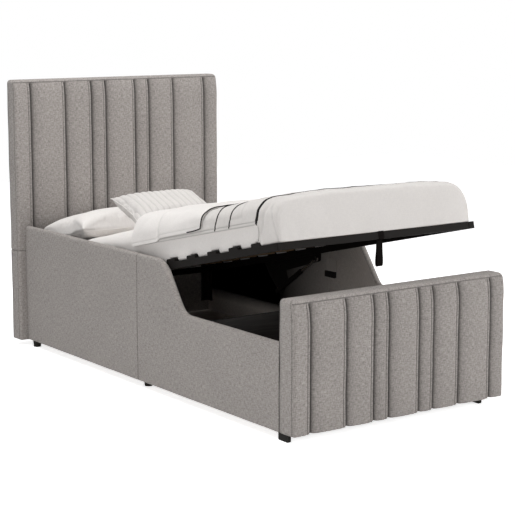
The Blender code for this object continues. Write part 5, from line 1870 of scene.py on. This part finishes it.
    def outward(self, points: np.ndarray) -> np.ndarray:
        """Outward directions of a sheet of rows, in the plane of each row.

        Args:
            points: Rows of points across the bed.

        Returns:
            One direction for each point.
        """
        run = np.gradient(points, axis=1)
        normal = np.stack([run[:, :, 2], np.zeros(run.shape[:2]), -run[:, :, 0]], -1)
        normal /= np.maximum(np.linalg.norm(normal, axis=-1, keepdims=True), 1e-9)
        return normal * np.sign(normal[:, [points.shape[1] // 2], 2:3])

    def foot_face(
        self, points: np.ndarray, marks: np.ndarray, across: np.ndarray,
    ) -> tuple[np.ndarray, np.ndarray, np.ndarray, np.ndarray]:
        """Carry the first row inwards over the foot face.

        Args:
            points: The cover's points.
            marks: Their painted crease shade.
            across: Their distances from the middle of the top.

        Returns:
            Points, marks, and the cloth map's two distances, with the face's rows in front.
        """
        first = points[0]
        bottom = first[:, 2].min()
        rows = []
        for share in (0.015, 0.08, 0.16, 0.25, 0.35, 0.45, 0.55, 0.65, 0.75, 0.84, 0.91, 0.96, 0.99):
            row = first * 1.0
            row[:, 0] *= 1 - 0.10 * (1 - share)
            row[:, 2] = bottom + (first[:, 2] - bottom) * share
            swell = 0.0045 * math.sqrt(1 - share ** 2)
            low_left = np.clip(-row[:, 0] / self.cover_half, 0, 1) * (1 - share)
            drag = ripple(row * (1.6, 1, 0.7), 0.075, 8) * low_left
            row[:, 1] -= swell + 0.0011 * (1 - share) * ripple(row, 0.16, 15) + 0.0016 * drag * (1 - share)
            rows.append(row)
        rows = np.array(rows)
        rows[:, :, 1] = np.maximum(rows[:, :, 1], 0.001)
        face = np.concatenate([rows, points])
        down = first[:, 2][None] - rows[:, :, 2]
        along = np.concatenate([self.cover_foot - np.abs(down), points[:, :, 1]])
        wide = np.concatenate([np.broadcast_to(across[0], rows.shape[:2]), across])
        return face, np.concatenate([np.zeros(rows.shape[:2]), marks]), wide, along

    def hollow(self, piece: Object) -> None:
        """Cut the space for the mattress out of the cover.

        Args:
            piece: The cover.
        """
        gap = self.seat_gap
        half, top, radius = self.mattress_half + gap, self.mattress_top + gap, self.upper_radius
        turns = np.linspace(0, math.pi / 2, 9)
        stations = [(self.mattress_foot - gap + radius * (1 - math.cos(a)), math.sin(a), self.foot_narrow)
                    for a in np.linspace(0.15, math.pi / 2, 9)]
        stations += [(self.drop_end + 0.020, 1.0, self.foot_narrow), (self.drop_end + 0.040, 1.0, 0.0)]
        stations.append((self.cover_head + 0.02, 1.0, 0.0))
        rows = []
        for along, share, narrow in stations:
            side, r = half - narrow - radius, radius * share
            right = [(side + r, -0.02)]
            right += [(side + r * math.cos(a), top - radius + r * math.sin(a)) for a in turns]
            ring = np.array(right + [(-x, z) for x, z in right[::-1]])
            rows.append(upright(ring, along))
        uv = np.zeros((len(rows), len(rows[0]) + 1, 2))
        cutter = skin("cover_hollow", self.platform.place(np.array(rows)), uv)
        cut = piece.modifiers.new("Hollow", "BOOLEAN")
        cut.operation = "DIFFERENCE"
        cut.solver = "EXACT"
        cut.object = cutter
        bpy.context.view_layer.update()
        plain_mesh(piece)
        bpy.data.objects.remove(cutter)

    def build_fold(self) -> None:
        """The head end of the cover, turned back: a full roll that thins to a free edge."""
        length = self.fold_head - self.fold_foot
        last = 0.9 + 0.1 * np.sin(np.linspace(0, math.pi / 2, 22))[1:]
        shares = np.concatenate([np.linspace(0, 0.9, 90), last])
        smooth = smooth_line(np.array(self.fold_shares), 200)
        outer_rows, inner_rows = [], []
        for share in shares:
            rise = float(np.interp(share, smooth[:, 0], smooth[:, 1]))
            along = self.fold_foot + share * length
            roll = min(1.0, max(0.0, (share - self.lobe_share + 0.015) / 0.04))
            lift = max(0.0, 1 - share / 0.13) ** 2
            full = 1 - smooth_step(share / 0.5)
            hem = self.cover_top - self.shoulder * (0.78 + 0.12 * roll) + 0.004 * lift
            crown = self.cover_top + self.loft * full + rise * self.fold_crown
            half = self.cover_half + self.fold_proud + self.lobe_proud * roll
            line = self.section(half, crown, crown - hem, hem, full)
            low = self.cover_top + self.loft + self.fold_gap
            floor = self.section(self.cover_half + self.fold_side_gap, low, self.shoulder, hem, 1.0)
            outer_rows.append(upright(both_halves(line), along))
            inner_rows.append(upright(both_halves(floor), along))
        outer, inner = np.array(outer_rows), np.array(inner_rows)
        across = from_middle(outer)
        edge = across[:, [-1]] - np.abs(across)
        uneven = 0.0016 * ripple(outer, 0.22, 9) + 0.0008 * ripple(outer, 0.08, 10)
        line = bell(edge - self.hem_band, 0.002)
        crease = bell(shares[:, None] - self.lobe_share, 0.008)
        crease = crease * np.clip((0.14 - edge) / 0.05, 0, 1)
        swell = uneven * np.clip(edge / 0.05, 0.2, 1) - 0.001 * line - 0.004 * crease
        outer += self.outward(outer) * swell[..., None]
        # Painted shade along the hem line and in the crease where the roll begins.
        marks = np.maximum(0.45 * line, 0.9 * crease)
        for surface in (outer, inner):
            reach = (np.abs(surface[:, :, 0]) / self.cover_half) ** 4 * shares[:, None] ** 3
            drop = np.clip((self.cover_top - surface[:, :, 2]) / self.shoulder, 0, 1)
            surface[:, :, 1] += self.fold_lean * drop * (1 - shares[:, None]) ** 2 - self.fold_corner * reach
        hook = int(np.searchsorted(shares, self.hook_share))
        edge_path = np.concatenate([outer[hook:0:-1, 0], outer[0], outer[1: hook + 1, -1]])
        away = np.sign(edge_path[:, :1]) * (np.abs(edge_path[:, :1]) > 0.98 * self.cover_half)
        self.cord("cover_edge_cord", edge_path + away * (self.cord_proud, 0, 0), self.cord_radius)
        ring = np.concatenate([outer, inner[:, ::-1]], 1)
        mark = np.concatenate([marks, np.zeros(inner.shape[:2])], 1)
        wide = np.concatenate([across, across[:, ::-1], across[:, :1]], 1)
        uv = np.stack([wide, np.broadcast_to(ring[:, :1, 1] + 2.0, wide.shape)], -1)
        piece = skin("cover_turned_back", self.platform.place(ring), uv, mark=mark)
        self.dress(piece, self.paints.sheet, "cover_fold")

    def lay(self, piece: Object, matrix: Matrix) -> None:
        """Move a form from its own frame to the model's."""
        piece.data.transform(self.platform.matrix() @ matrix)

    def pipe(self, name: str, loop: np.ndarray, radius: float, matrix: Matrix) -> None:
        """Sew a piping round a seam.

        Args:
            name: The piping's name.
            loop: The seam's points in the form's own frame.
            radius: The piping's radius.
            matrix: Where the form goes on the platform.
        """
        piece = polyline(name, [loop], closed=True)
        self.lay(piece, matrix)
        grow(piece, self.trees.piping, {"Radius": radius, "Sides": 10, "Material": self.paints.pillowcase})
        settle(piece, Body.PLATFORM, [self.paints.pillowcase])

    def build_pillow(self) -> None:
        """A full pillow with piping, puckered at its corners."""
        shape = StuffedShape(
            "pillow_stuffed", width=0.740, depth=0.400, crown=0.106, underside=0.032, draw=0.045,
            start_share=0.90, voxel=0.006, pressure=3.0, cap=0.012,
        )
        piece = shape.build()
        points = read_points(piece)
        reach = np.abs(points[:, 0]) / (shape.width / 2)
        near = np.clip((reach - 0.55) / 0.45, 0, 1) * np.clip(1 - np.abs(points[:, 2]) / 0.06, 0, 1)
        points[:, 2] += 0.0018 * near * ripple(points * (0.4, 1, 0.2), 0.045, 12)
        points[:, 2] = np.maximum(points[:, 2], -shape.underside)
        # Painted shade along the seam towards the ends.
        mark = 0.5 * bell(points[:, 2], 0.004) * (reach > 0.8)
        rear = np.clip(points[:, 1] / (shape.depth / 2), -0.45, 1)
        points[:, 2] += 0.058 * np.clip(reach, 0, 1) ** 3 * rear ** 2
        write_points(piece, points)
        map_flat(piece)
        set_painted_shade(piece, mark)
        loop = shape.seam_loop(piece)
        height = self.mattress_top + self.seat_gap + shape.underside + 0.0022
        where = Matrix.Translation((*self.pillow_place, height))
        self.lay(piece, where)
        self.dress(piece, self.paints.pillowcase, "pillow")
        self.pipe("pillow_piping", loop, 0.0026, where)

    def build_cushion(self) -> None:
        """A scatter cushion with sewn ribs, leaning back."""
        shape = StuffedShape(
            "ribbed_cushion_stuffed", width=0.400, depth=0.280, crown=0.046, underside=0.046, draw=0.02,
            start_share=0.7, voxel=0.004, pressure=4.0, cap=0.016,
        )
        piece = shape.build()
        points = read_points(piece)
        place = (points[:, 0] / shape.width + 0.5) * self.cushion_ribs
        groove = np.abs(np.sin(np.pi * place))
        swell = shape.plump(np.clip(points[:, 0] / (shape.width / 2), -1, 1),
                            np.clip(points[:, 1] / (shape.depth / 2), -1, 1))
        relief = 0.0065 * (1 - groove ** 0.7) * np.clip(swell * 1.6, 0, 1)
        points[:, 2] -= np.sign(points[:, 2]) * relief
        write_points(piece, points)
        map_flat(piece)
        # Painted shade in the rib grooves.
        set_painted_shade(piece, 0.5 * (1 - groove) ** 3)
        loop = shape.seam_loop(piece)
        turned = Matrix.Rotation(self.cushion_turn, 4, "Z") @ Matrix.Rotation(self.cushion_lean, 4, "X")
        lowest = (points @ np.array(turned)[:3, :3].T)[:, 2].min()
        height = self.mattress_top + self.seat_gap + 0.002 - lowest
        where = Matrix.Translation((*self.cushion_place, height)) @ turned
        self.lay(piece, where)
        self.dress(piece, self.paints.cover, "ribbed_cushion")
        self.pipe("ribbed_cushion_seam", loop, 0.0016, where)


@dataclass
class PullStrap:
    """The webbing loop that hangs from the band round the foot rail."""

    paints: Paintbox
    thickness: float = 0.0016
    width: float = 0.025
    lower_width: float = 0.030
    blend_length: float = 0.020
    opening_shares: tuple[tuple[float, float], ...] = (
        (0.0, 0.0), (0.03, 0.22), (0.07, 0.4), (0.25, 0.5), (0.5, 0.66), (0.75, 0.95), (0.92, 0.75),
        (0.985, 0.35), (1.0, 0.0),
    )

    def band(self, name: str, path: np.ndarray, widths: np.ndarray, centre_x: float) -> Object:
        """Make a closed band of webbing.

        Args:
            name: The band's name.
            path: Its closed path as y and z.
            widths: Its width at each point.
            centre_x: Its middle across the bed.

        Returns:
            The band.
        """
        run = np.roll(path, -1, 0) - np.roll(path, 1, 0)
        out = np.stack([run[:, 1], -run[:, 0]], -1) / np.linalg.norm(run, axis=-1, keepdims=True)
        length = lengths_along(path)
        profile = [(-1, -0.5), (-1, 0.5), (-0.92, 0.62), (-0.84, 0.5), (0, 0.5), (0.84, 0.5), (0.92, 0.62),
                   (1, 0.5), (1, -0.5), (0.84, -0.5), (0, -0.5), (-0.84, -0.5)]
        points = np.zeros((len(path) + 1, len(profile), 3))
        uv = np.zeros((len(path) + 1, len(profile) + 1, 2))
        for r in range(len(path) + 1):
            i = r % len(path)
            for c, (across, through) in enumerate(profile):
                place = path[i] + out[i] * through * self.thickness
                points[r, c] = (centre_x + across * widths[i] / 2, place[0], place[1])
                uv[r, c] = (across * widths[i] / 2, length[min(r, len(length) - 1)])
            uv[r, -1] = uv[r, 0]
        made = skin(name, points, uv, caps=False)
        weld = made.modifiers.new("Weld", "WELD")
        weld.merge_threshold = 0.00001
        plain_mesh(made)
        return made

    def build(self) -> None:
        """Make the loop that hangs from the band round the foot rail."""
        low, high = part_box("pull_strap")
        centre = (low.x + high.x) / 2
        middle_y = (low.y + high.y) / 2
        drop = high.z - low.z - self.thickness
        opening = (high.y - low.y) - self.thickness
        top = high.z - self.thickness / 2
        shares = smooth_line(np.array(self.opening_shares), 40)
        peak = shares[:, 1].max()
        front = np.stack([middle_y - shares[:, 1] / peak * opening / 2, top - shares[:, 0] * drop], -1)
        back = np.stack([2 * middle_y - front[-2:0:-1, 0], front[-2:0:-1, 1]], -1)
        path = np.concatenate([front, back])
        down = (top - path[:, 1]) / drop
        loop = self.band("strap_loop", path, self.width + (self.lower_width - self.width) * down, centre)
        loop.data.materials.append(self.paints.webbing)
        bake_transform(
            loop, Body.PLATFORM.value, Body.STRAP.value,
            start=(centre, middle_y, top + 0.002), end=(centre, middle_y, top - self.blend_length),
        )
        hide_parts("pull_strap")
        log.info("strap_loop: %d faces", len(loop.data.polygons))


@dataclass
class Hardware:
    """Frame, plates, struts, boards and feet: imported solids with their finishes."""

    paints: Paintbox
    trees: GrowingTrees
    platform: PlatformFrame
    block_height: float = 0.026

    def finishes(self) -> dict[str, tuple[Material, Slot]]:
        """Choose each node's finish by the start of its name.

        Returns:
            A material and a slot for each start of a name.
        """
        p = self.paints
        enamelled = ("corner_bracket", "hinge_plate", "lift_arm", "side_rail", "foot_rail", "head_rail",
                     "gas_strut_tube")
        return {name: (p.enamel, Slot.FRAME_STEEL) for name in enamelled} | {
            "headboard_back_cover": (p.lining, Slot.LINING),
            "footboard_back_cover": (p.lining, Slot.LINING),
            "cross_divider": (p.board, Slot.BOARD),
            "floor_board": (p.floor, Slot.BOARD),
            "floor_batten": (p.timber, Slot.TIMBER),
            "rest_bracket": (self.covered_plate(), Slot.FRAME_STEEL),
            "foot_": (p.plastic, Slot.PLASTIC),
            "gas_strut_rod": (p.steel, Slot.BRIGHT_STEEL),
            "strap_wrap": (p.webbing, Slot.WEBBING),
        }

    def covered_plate(self) -> Material:
        """Make the rest brackets' finish from where their block and their plate lie.

        Returns:
            The material.
        """
        block_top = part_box("rest_bracket_right")[0].z + self.block_height + 0.0005
        cover = tuple(0.45 * part for part in PANEL_INNER_WITH_PAINTED_LIGHT)
        return CoveredPlateFinish("covered_rest_plate", cover, ENAMEL, block_top).build()

    def build(self) -> None:
        """Dress the solids and make the slats."""
        chosen = self.finishes()
        for name, node in sorted(frame["nodes"].items()):
            key = next((start for start in chosen if name.startswith(start)), None)
            if key is None:
                continue
            material, slot = chosen[key]
            node.data.materials.clear()
            node.data.materials.append(material)
            log.info("%s: %s", name, material.name)
        self.build_slats()

    def build_slats(self) -> None:
        """Sprung slats in their holders."""
        row = self.platform.slats
        base = polyline("sprung_slats", [np.zeros((2, 3))])
        grow(
            base, self.trees.slats,
            {"Count": row.count, "Pitch": row.pitch, "Length": row.length, "Width": row.width,
             "Thickness": row.thickness, "Crown": row.crown, "Material": self.paints.slat},
        )
        middle = Matrix.Translation((0, row.first, row.bottom + row.thickness / 2))
        base.data.transform(self.platform.matrix() @ middle)
        settle(base, Body.PLATFORM, [self.paints.slat])
        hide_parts(*(f"slat_{i:02d}" for i in range(1, row.count + 1)))


@dataclass
class Studio:
    """Floor, lamps, world and camera."""

    camera_place: Vector = field(default_factory=lambda: Vector((-3.7289, -5.2946, 1.5595)))
    yaw: float = math.radians(35.7711)
    pitch: float = math.radians(-9.3658)
    focal_pixels: float = 1539.58
    frame_pixels: float = 515.0
    sensor: float = 36.0
    ambient: float = 0.25
    floor_size: float = 14.0
    floor_glow: float = 0.75

    def build(self) -> None:
        """Set up everything that isn't part of the bed."""
        self.build_camera()
        self.build_world()
        self.build_floor()
        self.build_lamps()
        bpy.context.scene.view_settings.view_transform = "Standard"

    def build_camera(self) -> None:
        """A long lens that looks slightly down."""
        data = bpy.data.cameras.new("camera")
        data.sensor_width = self.sensor
        data.lens = self.sensor * self.focal_pixels / self.frame_pixels
        made = place_object("camera", data)
        made.location = self.camera_place
        made.rotation_euler = (math.pi / 2 + self.pitch, 0, -self.yaw)
        bpy.context.scene.camera = made

    def plain_rays(self, wire: Wiring) -> NodeSocket:
        """Tell the rays that see the background itself from those that light the bed.

        Args:
            wire: The tree to work in.

        Returns:
            1 for a ray that sees the background, else 0.
        """
        light = wire.add("ShaderNodeLightPath").outputs
        seen = wire.sum("MAXIMUM", light["Is Camera Ray"], light["Is Glossy Ray"])
        return wire.sum("MAXIMUM", seen, light["Is Transmission Ray"])

    def build_world(self) -> None:
        """An even sky that shows as white."""
        world = bpy.data.worlds.new("studio")
        world.use_nodes = True
        wire = Wiring(world.node_tree)
        shade = world.node_tree.nodes["Background"]
        strength = wire.span(self.plain_rays(wire), 0.0, 1.0, self.ambient, 1.0)
        wire.feed(shade, {"Color": (1, 1, 1, 1), "Strength": strength})
        bpy.context.scene.world = world

    def build_floor(self) -> None:
        """A wide pale floor that keeps the bed's shadow."""
        half = self.floor_size / 2
        mesh = bpy.data.meshes.new("floor")
        corners = [(-half, -half, 0), (half, -half, 0), (half, half, 0), (-half, half, 0)]
        mesh.from_pydata(corners, [], [(0, 1, 2, 3)])
        floor = place_object("floor", mesh)
        finish = Finish("pale_floor", 0.9)
        glow = finish.wire.sum("MULTIPLY", self.plain_rays(finish.wire), self.floor_glow)
        colours = {"Base Color": (0.88, 0.88, 0.88, 1), "Emission Color": (1, 1, 1, 1)}
        finish.wire.feed(finish.shader, colours | {"Emission Strength": glow})
        mesh.materials.append(finish.material)

    def build_lamps(self) -> None:
        """A broad key in front and to the right, a weaker fill in front and to the left, and a top light."""
        for name, place, size, power in (
            ("key", Vector((4.8, -4.8, 1.5)), 2.4, 260.0),
            ("fill", Vector((-4.4, -4.0, 1.4)), 1.6, 88.0),
            ("top", Vector((-0.8, 0.3, 4.4)), 3.0, 150.0),
        ):
            data = bpy.data.lights.new(name, "AREA")
            data.shape = "SQUARE"
            data.size = size
            data.energy = power
            lamp = place_object(name, data)
            lamp.location = place
            lamp.rotation_euler = (Vector((0, 0, 0.5)) - place).to_track_quat("-Z", "Y").to_euler()


def main() -> None:
    """Dress the whole bed and set up the studio."""
    logging.basicConfig(level=logging.INFO, format="%(name)s %(message)s")
    paints = Paintbox()
    trees = GrowingTrees()
    platform = platform_frame()
    Upholstery(paints, trees).build()
    Bedding(paints, trees, platform).build()
    PullStrap(paints).build()
    Hardware(paints, trees, platform).build()
    Studio().build()


if __name__ == "__main__":
    main()
